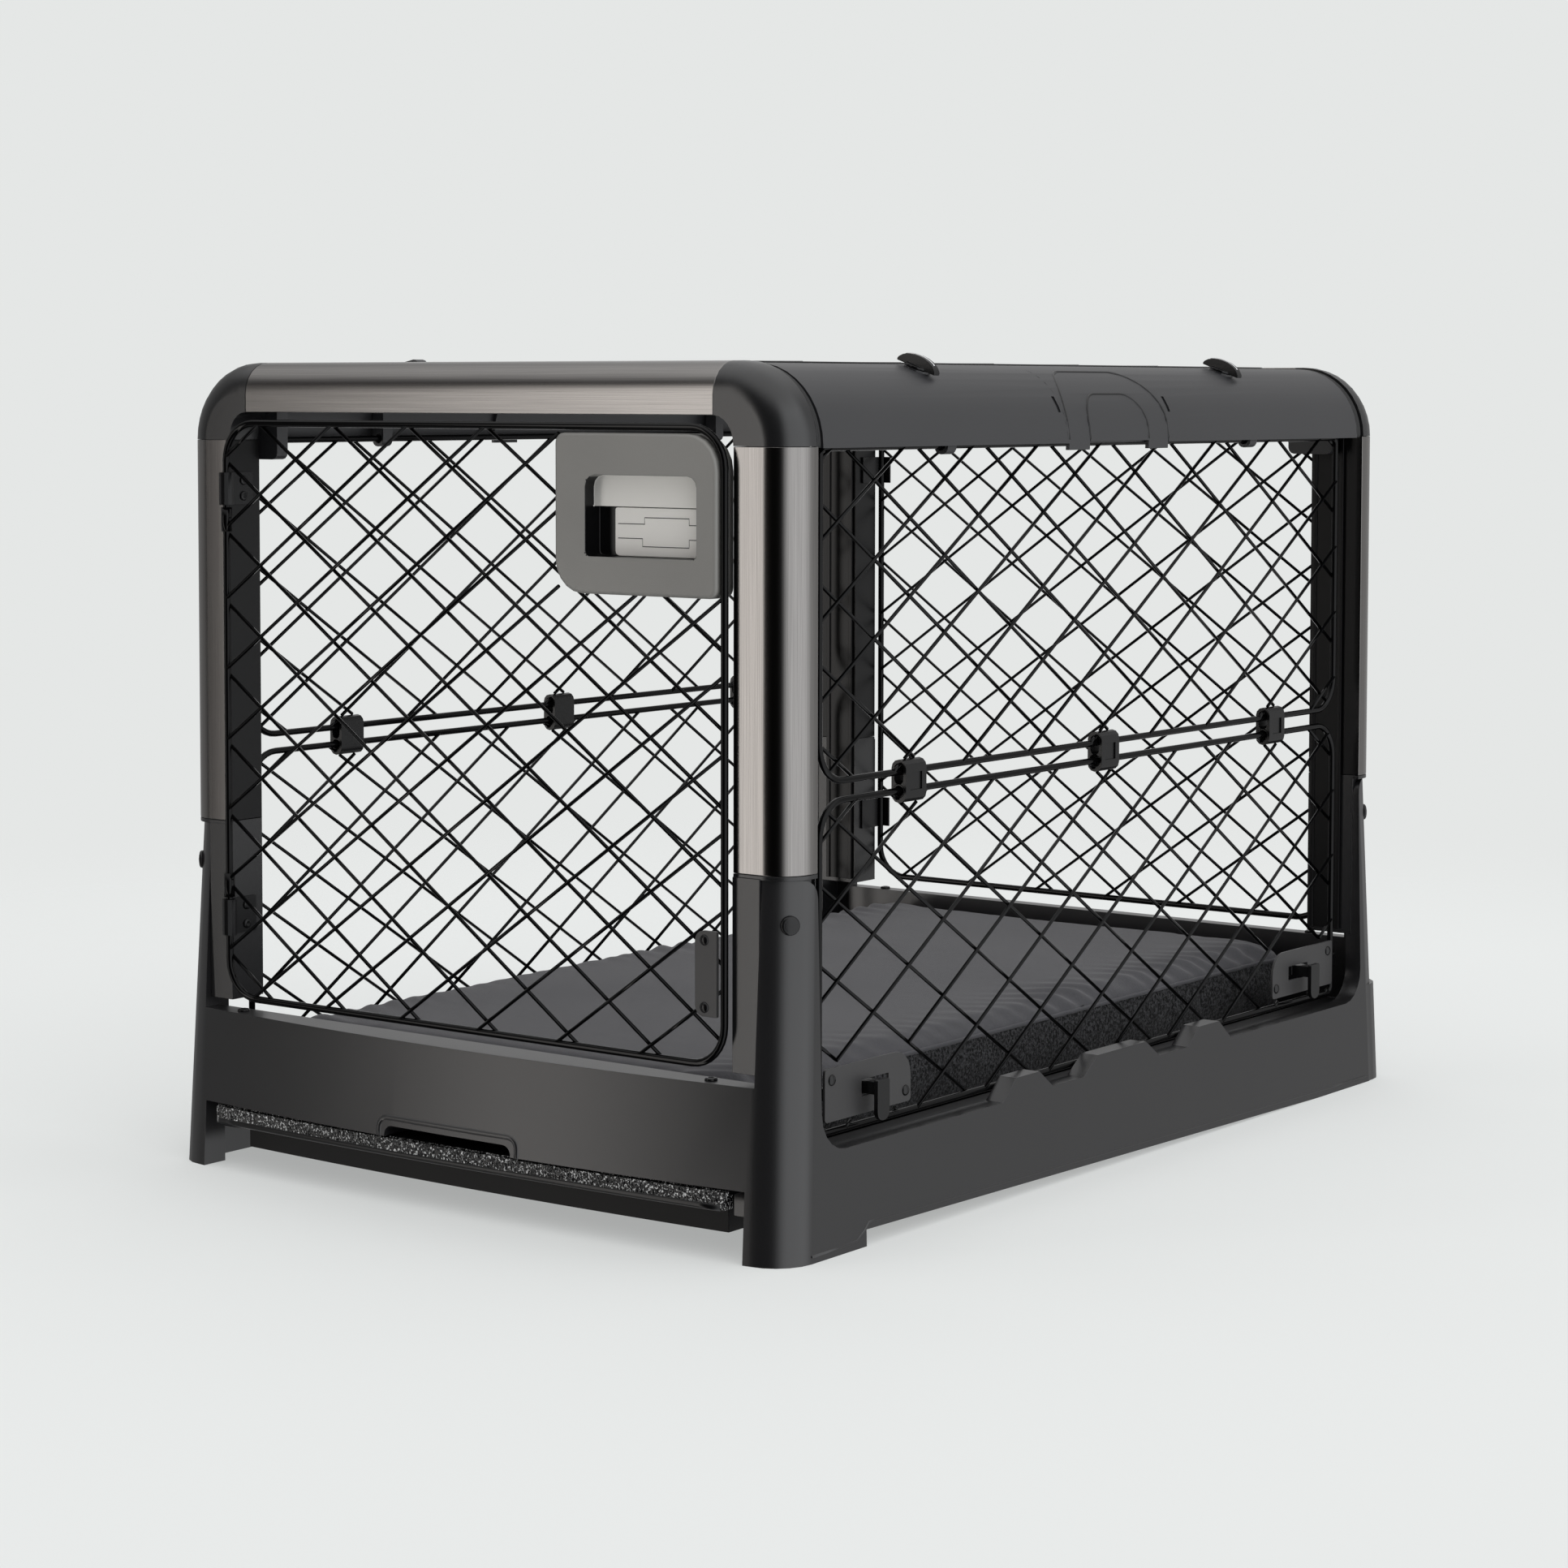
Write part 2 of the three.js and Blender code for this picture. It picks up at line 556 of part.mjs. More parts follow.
for (const [end, sy] of Object.entries(ENDS)) {
  place(`right_${end}_latch_plate`, mirrored(latchPlate(), 1, sy), STEEL_PLATE);
  place(`right_${end}_side_latch`, mirrored(sideLatch(), 1, sy), BLACK_PLASTIC);
}

// ---- front door and rear panel ----
const doorBorder = { a: [-DOOR_HALF, DOOR_HALF], radii: [DOOR_CORNER, DOOR_CORNER, DOOR_CORNER, DOOR_CORNER],
  wire: DOOR_WIRE, cell: DOOR_CELL, phase: [-140.6, 624] };
const housingShape = (grow = 0) => rectangle(HOUSING_X[0] - grow, HOUSING_X[1] + grow, HOUSING_Z[0] - grow,
  HOUSING_Z[1] + grow, [26, 8, 28, 8], 5);
const housingCutout = extrude(housingShape(0.4), 'y', -600, -400);
const doorPanel = wirePanel({ ...doorBorder, b: DOOR_SPAN, cutouts: [housingCutout] }, 'y', -DOOR_PLANE);
place('front_door_panel', doorPanel, WIRE);
place('rear_wire_panel', wirePanel({ ...doorBorder, b: DOOR_SPAN }, 'y', DOOR_PLANE), WIRE);

// Latch housing: a rounded block whose recess has a raised upper half and a deeper track for the slider.
function latchHousing() {
  const [front, back] = HOUSING_Y;
  const edge = { bevelEnabled: true, bevelThickness: 2, bevelSize: 2, bevelOffset: -2, bevelSegments: 1 };
  const block = extrude(housingShape(), 'y', front + 2, back, edge);
  const trim = box(0, 400, back, back + 10, 400, 700);
  const track = extrude(rectangle(...RECESS_X, ...RECESS_Z, [4, 4, 9, 9], 3), 'y', front - 5, front + 11);
  const step = box(...RECESS_X, front - 5, front + 18, RECESS_Z[0] + 4, SLIDER_TOP + GAP);
  const lowShape = rectangle(...RECESS_X, RECESS_Z[0], SLIDER_TOP + GAP, [4, 4, 0, 0], 3);
  const low = extrude(lowShape, 'y', front, front + 18);
  return block.subtract(trim).subtract(track).subtract(step.add(low));
}

function latchSlider() {
  const [x0, x1] = [RECESS_X[0] + 21, RECESS_X[1] - GAP];
  const shape = rectangle(x0, x1, RECESS_Z[0] + GAP, SLIDER_TOP, [4, 4, 2, 2], 3);
  return extrude(shape, 'y', HOUSING_Y[0] + 11, HOUSING_Y[0] + 17.7);
}

function strikePlate() {
  const [x0, x1] = [238, DOOR_HALF - DOOR_WIRE / 2 - 0.4];
  const face = DOOR_PLANE + 5.5;
  const plate = extrude(rectangle(x0, x1, ...STRIKE_SPAN, [8, 1, 1, 8], 4), 'y', -face, -face + 2.9);
  const rivets = [STRIKE_SPAN[0] + 7, STRIKE_SPAN[1] - 7].map((z) => solid(
    dome(3.6, 1.2).rotateZ(-Math.PI / 2).translate(x0 + 9, -face + GAP, z)));
  return union([plate, ...rivets]);
}

// Hinge bolted to the inner face of the left post, with an eye round the border wire of the door.
function doorHinge(z0, z1) {
  const x = -HALF_WIDTH + POST_WIDTH;
  const plate = extrude(rectangle(x + GAP, x + 2.3, -462, -440), 'z', z0, z1);
  const eye = extrude(ringShape(-DOOR_HALF, -DOOR_PLANE, 4.7, 6.3), 'z', z0, z1);
  const web = extrude(rectangle(x + GAP, x + 2.3, -467, -460), 'z', z0, z1)
    .subtract(extrude(circle(-DOOR_HALF, -DOOR_PLANE, 4.7), 'z', z0 - 1, z1 + 1));
  return union([plate, eye, web]);
}

// Cranked strap from the inner face of a rear post round the border wire of the rear panel.
function rearClamp(z0, z1) {
  const x = -HALF_WIDTH + POST_WIDTH;
  const [outer, back] = [x - 2.3, DOOR_PLANE + 5.5];
  const [inside, crank] = [HALF_LENGTH + 1.4, HALF_LENGTH + 3.2];
  return union([
    box(x + GAP, x + 2.3, 440, crank, z0, z1),
    box(outer, x + 2.3, inside, crank, z0, z1),
    box(outer, x - GAP, inside, back, z0, z1),
    box(outer, -DOOR_HALF + 8, back - 2, back, z0, z1),
  ]);
}

place('door_latch_housing', latchHousing(), HOUSING);
place('door_latch_slider', latchSlider(), HOUSING);
place('door_strike_plate', strikePlate(), STEEL_PLATE);
place('upper_door_hinge', doorHinge(557, 584), BLACK_STEEL);
place('lower_door_hinge', doorHinge(197, 227), BLACK_STEEL);
place('upper_rear_clamp', rearClamp(557, 584), BLACK_STEEL);
place('lower_rear_clamp', rearClamp(197, 227), BLACK_STEEL);

// ---- roof ----
// Outline of the carrying handle in y, z: straight feet and a round top; inset leaves the finger hole.
function gripOutline([half, z0, z1], grow, round) {
  return rectangle(-half - grow, half + grow, z0 - 10, z1 + grow, [0, 0, round + grow, round + grow], 5);
}

const sideways = (shape) => extrude(shape, 'x', RAIL_AXIS, 400);

function rail() {
  const half = GRIP_OUTER[0];
  const skin = shell(RAIL_RADIUS - RAIL_WALL, RAIL_RADIUS, -RAIL_END, RAIL_END);
  const flat = box(RAIL_INNER, RAIL_AXIS + 1, -RAIL_END, RAIL_END, ELBOW_SEAM + RAIL_RADIUS - RAIL_WALL,
    ELBOW_SEAM + RAIL_RADIUS);
  const lip = box(RAIL_INNER - 2, RAIL_INNER + 1, -RAIL_END, RAIL_END, 655, ELBOW_SEAM + RAIL_RADIUS - 0.5);
  const [rimLow, rimHigh] = [ELBOW_SEAM - 1.5, ELBOW_SEAM + 2];
  const rim = box(HALF_WIDTH - 4.6, RAIL_AXIS + RAIL_RADIUS, -RAIL_END, RAIL_END, rimLow, rimHigh);
  const thickInner = RAIL_AXIS + GRIP_FLOOR[0];
  const thickRim = box(thickInner, RAIL_AXIS + RAIL_RADIUS, -half - 3, half + 3, rimLow, rimHigh);
  const thick = shell(GRIP_FLOOR[0], RAIL_RADIUS, -half - 3, half + 3, 0, 72).add(thickRim);
  const pocket = shell(GRIP_FLOOR[1], RAIL_RADIUS + 5, -200, 200, -20, 89).intersect(
    sideways(gripOutline(GRIP_OUTER, GAP, 40)));
  const island = shell(GRIP_FLOOR[0] + 0.5, RAIL_RADIUS, -half, half, 0, 80).intersect(
    sideways(gripOutline(GRIP_INNER, -GAP, 26)));
  const slots = [-1, 1].map((s) => box(300, 400, s * 87.5 - 2, s * 87.5 + 2, 635, 648)
    .intersect(shell(RAIL_RADIUS - 1.5, RAIL_RADIUS + 3, -RAIL_END, RAIL_END, 10, 60)));
  const bosses = [-1, 1].map((s) => {
    const boss = extrude(circle(0, s * BRACKET_Y, 11), 'z', RAIL_RADIUS - 2, KNOB_BASE - GAP);
    return tilted(boss);
  });
  const skins = union([skin, flat, lip, rim, thick]).subtract(pocket).add(island);
  const brackets = [-1, 1].map((s) => pivotBracket(s * BRACKET_Y));
  const runners = [-1, 1].map((s) => runner(s));
  const slotted = slots.reduce((rest, slot) => rest.subtract(slot), skins);
  return union([slotted, ...bosses, ...brackets, ...runners]);
}

// Eye below the rail that the top wire of a side wall turns in.
function pivotBracket(y) {
  const outline = rectangle(296, 309, 602.5, 646, [6, 6, 0, 0], 4);
  const plate = extrude(framed(outline, circle(SIDE_PLANE, UPPER_PIVOT, PIVOT_HOLE)), 'y', y - 6, y + 6);
  return plate.intersect(shell(0.1, RAIL_RADIUS - 1, y - 10, y + 10, -30, 90));
}

// Block at each end of a rail that runs in the track of the post.
function runner(s) {
  const [y0, y1] = s > 0 ? [RAIL_END - 10.5, RAIL_END + 2] : [-RAIL_END - 2, -RAIL_END + 10.5];
  return extrude(rectangle(250, 296, 594, 640, [6, 6, 0, 0], 3), 'y', y0, y1).add(
    box(250, 262, y0, y1, 636, ELBOW_SEAM + RAIL_RADIUS - 1));
}

// Turns a body drawn about the rail axis, standing on z, over to the turn latch direction.
function tilted(body) {
  const geometry = toGeometry(body).rotateY(THREE.MathUtils.degToRad(LATCH_TILT));
  return solid(geometry.translate(RAIL_AXIS, 0, ELBOW_SEAM));
}

function handle() {
  const ring = shell(...GRIP_SHELL, -120, 120, -7, 85, 10);
  const outer = sideways(gripOutline(GRIP_OUTER, 0, 40));
  const inner = sideways(gripOutline(GRIP_INNER, 0, 26));
  const floor = box(0, 400, -200, 200, 500, GRIP_OUTER[1]);
  const foot = box(0, 400, -GRIP_INNER[0], GRIP_INNER[0], 500, GRIP_INNER[1]);
  return ring.intersect(outer).subtract(inner).subtract(floor).subtract(foot);
}

function turnLatch() {
  const disc = extrude(circle(0, 0, 10), 'z', KNOB_BASE, KNOB_BASE + 2);
  const crown = arc(0, 0, 1, 20, 160, 8).map((p) => point(19 * p.x, KNOB_BASE + 0.4 + 9.4 * p.y));
  const ridge = polygon([point(-19, KNOB_BASE), point(19, KNOB_BASE), point(19, KNOB_BASE + 2)], crown,
    [point(-19, KNOB_BASE + 2)]);
  return tilted(disc.add(extrude(ridge, 'y', -3.8, 3.8)));
}

function roofBeam() {
  const [y0, y1] = BEAM_SPAN;
  const reach = RAIL_INNER - 2 - GAP;
  const section = framed(rectangle(y0, y1, 636, 656, [2, 2, 2, 2], 2), rectangle(y0 + 3, y1 - 3, 639, 653));
  return extrude(section, 'x', -reach, reach);
}

function hatchHinge(y) {
  const shape = polygon(
    arc(-HATCH_HALF[0], HATCH_LEVEL, 6.4, 270, 450, 6),
    [point(-RAIL_AXIS, HATCH_LEVEL + 2), point(-RAIL_AXIS, HATCH_LEVEL - 3)],
    [point(-RAIL_INNER, HATCH_LEVEL - 6.4)],
  );
  return extrude(framed(shape, circle(-HATCH_HALF[0], HATCH_LEVEL, 4)), 'y', y - 6, y + 6);
}

const rightRail = rail();
place('right_roof_rail', rightRail, RAIL_PLASTIC);
const leftRail = union([mirrored(rightRail, -1, 1), hatchHinge(-HINGE_Y), hatchHinge(HINGE_Y)]);
place('left_roof_rail', leftRail, RAIL_PLASTIC);
placeSides('carry_handle', handle(), RAIL_PLASTIC);
const latch = turnLatch();
for (const [end, sy] of Object.entries(ENDS)) {
  place(`${end}_turn_latch`, latch, BLACK_PLASTIC, [0, -sy * BRACKET_Y, 0]);
}
place('rear_roof_beam', roofBeam(), RAIL_PLASTIC);
place('front_roof_beam', mirrored(roofBeam(), 1, -1), RAIL_PLASTIC);
place('roof_hatch_panel', wirePanel({ a: [-HATCH_HALF[0], HATCH_HALF[0]], b: [-HATCH_HALF[1], HATCH_HALF[1]],
  radii: [20, 20, 20, 20], wire: HATCH_WIRE, cell: HATCH_CELL, phase: [0, 0] }, 'z', HATCH_LEVEL), WIRE);

// ---- tray and mat ----
function trayOutline(front, half, rear) {
  return polygon(bow(half, -front, -8, 10), [point(half, rear), point(-half, rear)]);
}

function tray() {
  const plate = extrude(trayOutline(TRAY_FRONT - 4, TRAY_HALF, TRAY_REAR), 'z', TRAY_TOP - 4, TRAY_TOP);
  const lipOutline = trayOutline(TRAY_FRONT, TRAY_HALF - 2, -TRAY_FRONT + 12);
  const lip = extrude(lipOutline, 'z', TRAY_TOP - 15, TRAY_TOP - 1);
  const [skirt, front, rear, wall] = [255, TRAY_FRONT - 25, TRAY_REAR - 4, 3];
  const outer = extrude(trayOutline(front, skirt, rear), 'z', 16, TRAY_TOP - 3);
  const inner = extrude(trayOutline(front - wall, skirt - wall, rear - wall), 'z', 15, TRAY_TOP - 4);
  return union([plate, lip, outer.subtract(inner)]);
}

function mat() {
  const bottom = TRAY_TOP + 0.4;
  const edge = { bevelEnabled: true, bevelThickness: MAT_EDGE, bevelSize: MAT_EDGE, bevelOffset: -MAT_EDGE,
    bevelSegments: 2 };
  const shape = rectangle(-MAT_HALF[0], MAT_HALF[0], -MAT_HALF[1], MAT_HALF[1], [30, 30, 30, 30], 4);
  return extrude(shape, 'z', bottom + MAT_EDGE, MAT_TOP - MAT_EDGE, edge);
}

place('tray', tray(), TRAY_PLASTIC);
place('mat', mat(), FABRIC);

export default crate;
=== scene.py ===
# Wire dog crate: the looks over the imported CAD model. Metres, +Z up, the door at the front facing -Y.
# Outlines and places on the crate are in millimetres, as in the CAD. Camera, textures, bevels and floor are
# in metres.
import json
import math

import bmesh
import bpy
from mathutils import Matrix, Vector, noise
from mathutils.bvhtree import BVHTree

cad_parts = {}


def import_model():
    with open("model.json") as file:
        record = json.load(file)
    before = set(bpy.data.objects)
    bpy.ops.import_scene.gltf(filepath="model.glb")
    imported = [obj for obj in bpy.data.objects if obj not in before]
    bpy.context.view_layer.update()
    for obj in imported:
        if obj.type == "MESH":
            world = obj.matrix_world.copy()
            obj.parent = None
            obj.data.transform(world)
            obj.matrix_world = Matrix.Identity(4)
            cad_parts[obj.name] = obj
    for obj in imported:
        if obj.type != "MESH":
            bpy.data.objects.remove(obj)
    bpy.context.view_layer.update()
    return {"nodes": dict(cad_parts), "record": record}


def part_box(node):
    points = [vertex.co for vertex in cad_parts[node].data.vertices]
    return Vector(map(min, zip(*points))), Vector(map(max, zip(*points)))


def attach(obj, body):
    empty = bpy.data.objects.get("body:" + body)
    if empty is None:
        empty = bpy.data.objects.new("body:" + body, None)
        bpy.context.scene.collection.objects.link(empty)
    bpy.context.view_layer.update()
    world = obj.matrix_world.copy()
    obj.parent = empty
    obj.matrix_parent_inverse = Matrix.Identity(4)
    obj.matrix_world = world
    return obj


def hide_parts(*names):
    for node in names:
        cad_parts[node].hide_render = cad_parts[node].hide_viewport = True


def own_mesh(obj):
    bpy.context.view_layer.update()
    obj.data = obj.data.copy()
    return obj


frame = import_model()

MM = 0.001
scene = bpy.context.scene
scene.view_settings.view_transform = "Standard"
scene.view_settings.look = "None"
BODY_OF = {n: b for b, ns in frame["record"]["behaviour"]["bodies"].items() for n in ns}

# ---- camera ----
CAMERA_PLACE = (1.87724, -2.55558, 0.65071)
CAMERA_AZIMUTH, CAMERA_TILT, CAMERA_ROLL = 36.818, 86.494, 0.086

camera_data = bpy.data.cameras.new("camera")
camera_data.lens = 81.484
camera_data.sensor_width = 36
camera_data.shift_y = -0.11087
camera_data.clip_start = 0.05
camera_data.clip_end = 200
camera = bpy.data.objects.new("camera", camera_data)
camera.matrix_world = (
    Matrix.Translation(CAMERA_PLACE)
    @ Matrix.Rotation(math.radians(CAMERA_AZIMUTH), 4, "Z")
    @ Matrix.Rotation(math.radians(CAMERA_TILT), 4, "X")
    @ Matrix.Rotation(math.radians(CAMERA_ROLL), 4, "Z")
)
scene.collection.objects.link(camera)
scene.camera = camera

# ---- light ----
BACKDROP = (0.783, 0.799, 0.791, 1)
# Overhead box: heights of its edge and of its full part, tint, strength.
OVERHEAD = (0.45, 0.95, (1.0, 1.0, 1.0), 1.25)
# Side boxes: azimuth from the front towards the right, half angle to the edge and to the full part, heights
# between which it fades, tint, strength.
SIDE_BOXES = [
    (-36.3, 8.7, 2.0, (0.25, 0.65), (1.0, 0.965, 0.93), 2.6),
    (88, 58, 22, (0.55, 0.9), (0.97, 0.985, 1.0), 1.55),
    (-105, 60, 30, (0.5, 0.9), (1.0, 1.0, 1.0), 0.30),
    (180, 60, 30, (0.5, 0.9), (1.0, 1.0, 1.0), 0.45),
]


def add(tree, kind, inputs=(), **settings):
    """A new node with some of its sockets set or linked."""
    made = tree.nodes.new(kind)
    for key, value in settings.items():
        setattr(made, key, value)
    for key, value in dict(inputs).items():
        socket = made.inputs[key]
        if isinstance(value, bpy.types.NodeSocket):
            tree.links.new(value, socket)
        else:
            socket.default_value = value
    return made


def studio():
    """Light from all round: an overhead box, a broad box on the right, a narrow warm strip to the left of the
    front and weak fills on the left and behind. The sector in front of the door stays dark."""
    world = bpy.data.worlds.new("studio")
    scene.world = world
    world.use_nodes = True
    tree = world.node_tree
    tree.nodes.clear()

    def vector(operation, inputs, output="Vector"):
        return add(tree, "ShaderNodeVectorMath", inputs, operation=operation).outputs[output]

    def ramp(value, start, end):
        return add(tree, "ShaderNodeMapRange", {"Value": value, "From Min": start, "From Max": end},
                   interpolation_type="SMOOTHSTEP").outputs["Result"]

    def product(first, second):
        return add(tree, "ShaderNodeMath", {0: first, 1: second}, operation="MULTIPLY").outputs["Value"]

    def tinted(share, colour, strength):
        return vector("MULTIPLY", {0: share, 1: [c * strength for c in colour]})

    where = add(tree, "ShaderNodeTexCoord").outputs["Generated"]
    level = vector("NORMALIZE", {0: vector("MULTIPLY", {0: where, 1: (1, 1, 0)})})
    height = add(tree, "ShaderNodeSeparateXYZ", {0: where}).outputs["Z"]
    total = tinted(ramp(height, *OVERHEAD[:2]), *OVERHEAD[2:])
    for azimuth, outer, inner, fade, colour, strength in SIDE_BOXES:
        turn = math.radians(azimuth)
        toward = (math.sin(turn), -math.cos(turn), 0)
        cosine = vector("DOT_PRODUCT", {0: level, 1: toward}, "Value")
        across = ramp(cosine, math.cos(math.radians(outer)), math.cos(math.radians(inner)))
        share = product(across, ramp(height, fade[1], fade[0]))
        total = vector("ADD", {0: total, 1: tinted(share, colour, strength)})
    lights = add(tree, "ShaderNodeBackground", {"Color": total})
    pale = add(tree, "ShaderNodeBackground", {"Color": BACKDROP})
    seen = add(tree, "ShaderNodeLightPath").outputs["Is Camera Ray"]
    mixed = add(tree, "ShaderNodeMixShader", {0: seen, 1: lights.outputs[0], 2: pale.outputs[0]})
    add(tree, "ShaderNodeOutputWorld", {"Surface": mixed.outputs[0]})


studio()


# ---- materials ----
def start_material(name, colour, roughness, metallic=0.0, specular=0.5):
    material = bpy.data.materials.new(name)
    material.use_nodes = True
    material.diffuse_color = (*colour, 1)
    tree = material.node_tree
    surface = tree.nodes["Principled BSDF"]
    surface.inputs["Base Color"].default_value = (*colour, 1)
    surface.inputs["Roughness"].default_value = roughness
    surface.inputs["Metallic"].default_value = metallic
    surface.inputs["Specular IOR Level"].default_value = specular
    return material, tree, surface


def two_colours(tree, surface, source, low, high, band):
    """Colours a surface from low to high over a band of a texture's values."""
    ramp = add(tree, "ShaderNodeValToRGB", {"Fac": source})
    for element, place, colour in zip(ramp.color_ramp.elements, band, (low, high)):
        element.position = place
        element.color = (*colour, 1)
    tree.links.new(ramp.outputs["Color"], surface.inputs["Base Color"])


def mottled(tree, surface, source, colour, spread, band=(0.3, 0.7)):
    """Varies a colour by a share either way with a texture, over a band of the texture's values."""
    low = [c * (1 - spread) for c in colour]
    high = [c * (1 + spread) for c in colour]
    two_colours(tree, surface, source, low, high, band)


def place_of(tree, scale=(1, 1, 1)):
    where = add(tree, "ShaderNodeTexCoord").outputs["Object"]
    return add(tree, "ShaderNodeMapping", {"Vector": where, "Scale": scale}).outputs["Vector"]


def bumped(tree, surface, height, strength, distance):
    bump = add(tree, "ShaderNodeBump", {"Height": height, "Strength": strength, "Distance": distance})
    tree.links.new(bump.outputs["Normal"], surface.inputs["Normal"])


def grained(name, colour, roughness, grain, strength, depth=0.00012, **more):
    """Moulded plastic or painted steel with a fine grain and a faint cloud in its colour."""
    material, tree, surface = start_material(name, colour, roughness, **more)
    where = place_of(tree)
    cloud = add(tree, "ShaderNodeTexNoise", {"Vector": where, "Scale": 9, "Detail": 2}).outputs["Fac"]
    fine = add(tree, "ShaderNodeTexNoise", {"Vector": where, "Scale": grain, "Detail": 1}).outputs["Fac"]
    mottled(tree, surface, cloud, colour, spread=0.05)
    bumped(tree, surface, fine, strength, depth)
    return material


def brushed(name, stretch):
    """Brushed aluminium: fine streaks that run along the axis with the small scale."""
    material, tree, surface = start_material(name, ALUMINIUM, roughness=0.20, metallic=1.0)
    where = place_of(tree, stretch)
    streak = add(tree, "ShaderNodeTexNoise", {"Vector": where, "Scale": 1, "Detail": 4, "Roughness": 0.65})
    mottled(tree, surface, streak.outputs["Fac"], ALUMINIUM, spread=0.16)
    bumped(tree, surface, streak.outputs["Fac"], strength=0.2, distance=0.00004)
    return material


def pebbled(name, colour, painted_glint, roughness):
    """Coarse pebbled plastic with painted glints: pale flecks in its colour stand for sparkles of light on
    the pebbles.
    """
    material, tree, surface = start_material(name, colour, roughness, specular=0.8)
    where = place_of(tree)
    stone = add(tree, "ShaderNodeTexVoronoi", {"Vector": where, "Scale": 420}).outputs["Distance"]
    glint = add(tree, "ShaderNodeTexNoise", {"Vector": where, "Scale": 520, "Detail": 1, "Roughness": 0.7})
    # Painted glints: the base colour turns pale where the fine noise is high.
    two_colours(tree, surface, glint.outputs["Fac"], colour, painted_glint, band=(0.56, 0.70))
    bumped(tree, surface, stone, strength=0.9, distance=0.0014)
    return material


def woven(name, colour, thread, contrast, depth, streak=None, band=(0.3, 0.7)):
    """Woven cloth: crossing threads, with flecks that may be drawn out into streaks."""
    material, tree, surface = start_material(name, colour, roughness=0.95, specular=0.15)
    surface.inputs["Sheen Weight"].default_value = 0.25
    surface.inputs["Sheen Roughness"].default_value = 0.4
    where = place_of(tree)
    drawn = place_of(tree, streak or (1, 1, 1))
    size = 1 if streak else thread
    fleck = add(tree, "ShaderNodeTexNoise", {"Vector": drawn, "Scale": size, "Detail": 3, "Roughness": 0.8})
    weave = add(tree, "ShaderNodeTexVoronoi", {"Vector": where, "Scale": thread, "Randomness": 0.45},
                distance="CHEBYCHEV")
    both = add(tree, "ShaderNodeMath", {0: fleck.outputs["Fac"], 1: weave.outputs["Distance"]},
               operation="ADD")
    mottled(tree, surface, fleck.outputs["Fac"], colour, contrast, band)
    bumped(tree, surface, both.outputs["Value"], strength=0.6, distance=depth)
    return material


CHARCOAL = (0.0125, 0.0122, 0.0132)
FRAME_CHARCOAL = (0.0100, 0.0100, 0.0108)
RAIL_CHARCOAL = (0.022, 0.0222, 0.0245)
NEAR_BLACK = (0.0035, 0.0035, 0.0038)
LINER_COLOUR = (0.0025, 0.0025, 0.0028)
STEEL_COLOUR = (0.005, 0.005, 0.0055)
PLATE_COLOUR = (0.052, 0.051, 0.052)
HOUSING_COLOUR = (0.235, 0.229, 0.216)
RECESS_COLOUR = (0.84, 0.82, 0.78)
# The pebbled lip's colour, and the pale colour of its painted glints.
PEBBLE_COLOUR, PAINTED_GLINT_COLOUR = (0.006, 0.006, 0.0065), (0.75, 0.75, 0.75)
WIRE_COLOUR = (0.0018, 0.0018, 0.002)
BRIGHT_COLOUR = (0.62, 0.62, 0.63)
ALUMINIUM = (0.235, 0.226, 0.219)
CLOTH_TOP_COLOUR = (0.085, 0.084, 0.091)
CLOTH_SIDE_COLOUR = (0.034, 0.034, 0.036)
# Scales of the brushed streaks across them and along them.
FINE, LONG = 1700, 9

MOULDED = grained("moulded_charcoal", CHARCOAL, 0.29, grain=1500, strength=0.3, specular=0.7)
FRAME_PLASTIC = grained("frame_charcoal", FRAME_CHARCOAL, 0.27, grain=1500, strength=0.25, specular=0.65)
RAIL = grained("rail_charcoal", RAIL_CHARCOAL, 0.42, grain=1700, strength=0.2, specular=0.7)
BLACK = grained("black_plastic", NEAR_BLACK, 0.28, grain=1200, strength=0.15, specular=0.4)
LINER = grained("liner_black", LINER_COLOUR, 0.3, grain=900, strength=0.2, specular=0.3)
BLACK_STEEL = grained("black_steel", STEEL_COLOUR, 0.25, grain=1400, strength=0.2, metallic=0.3)
PLATE = grained("plate_steel", PLATE_COLOUR, 0.40, grain=1600, strength=0.3, metallic=0.3)
HOUSING = grained("housing_grain", HOUSING_COLOUR, 0.45, grain=1300, strength=0.5, depth=0.0002, specular=0.8)
HOUSING_LIGHT = grained("housing_smooth", RECESS_COLOUR, 0.35, grain=1300, strength=0.2)
TRAY = grained("tray_black", NEAR_BLACK, 0.5, grain=700, strength=0.3, specular=0.3)
TRAY_LIP = pebbled("tray_pebble", PEBBLE_COLOUR, PAINTED_GLINT_COLOUR, 0.22)
GLOSS = grained("gloss_wire", WIRE_COLOUR, 0.10, grain=500, strength=0.05, specular=0.17)
POST_METAL = brushed("brushed_post", (FINE, FINE, LONG))
BAR_METAL = brushed("brushed_bar", (LONG, FINE, FINE))
BRIGHT = grained("bright_metal", BRIGHT_COLOUR, 0.22, grain=900, strength=0.1, metallic=1.0)
CLOTH_TOP = woven("mat_top_cloth", CLOTH_TOP_COLOUR, 1500, 0.22, 0.0002, streak=(55, 1500, 400))
CLOTH_SIDE = woven("mat_side_cloth", CLOTH_SIDE_COLOUR, 360, 0.97, 0.0006, band=(0.44, 0.60))

# ---- pieces ----
# Edges sharper than this many degrees are rounded.
BEVEL_ANGLE = 28
# Doubled vertices closer than this, and flat faces within this many degrees, are joined.
WELD_GAP, FLAT_ANGLE = 2e-6, 0.7


def finish_piece(obj, body, slot, *nodes):
    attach(obj, body)
    if nodes:
        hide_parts(*nodes)
    return obj


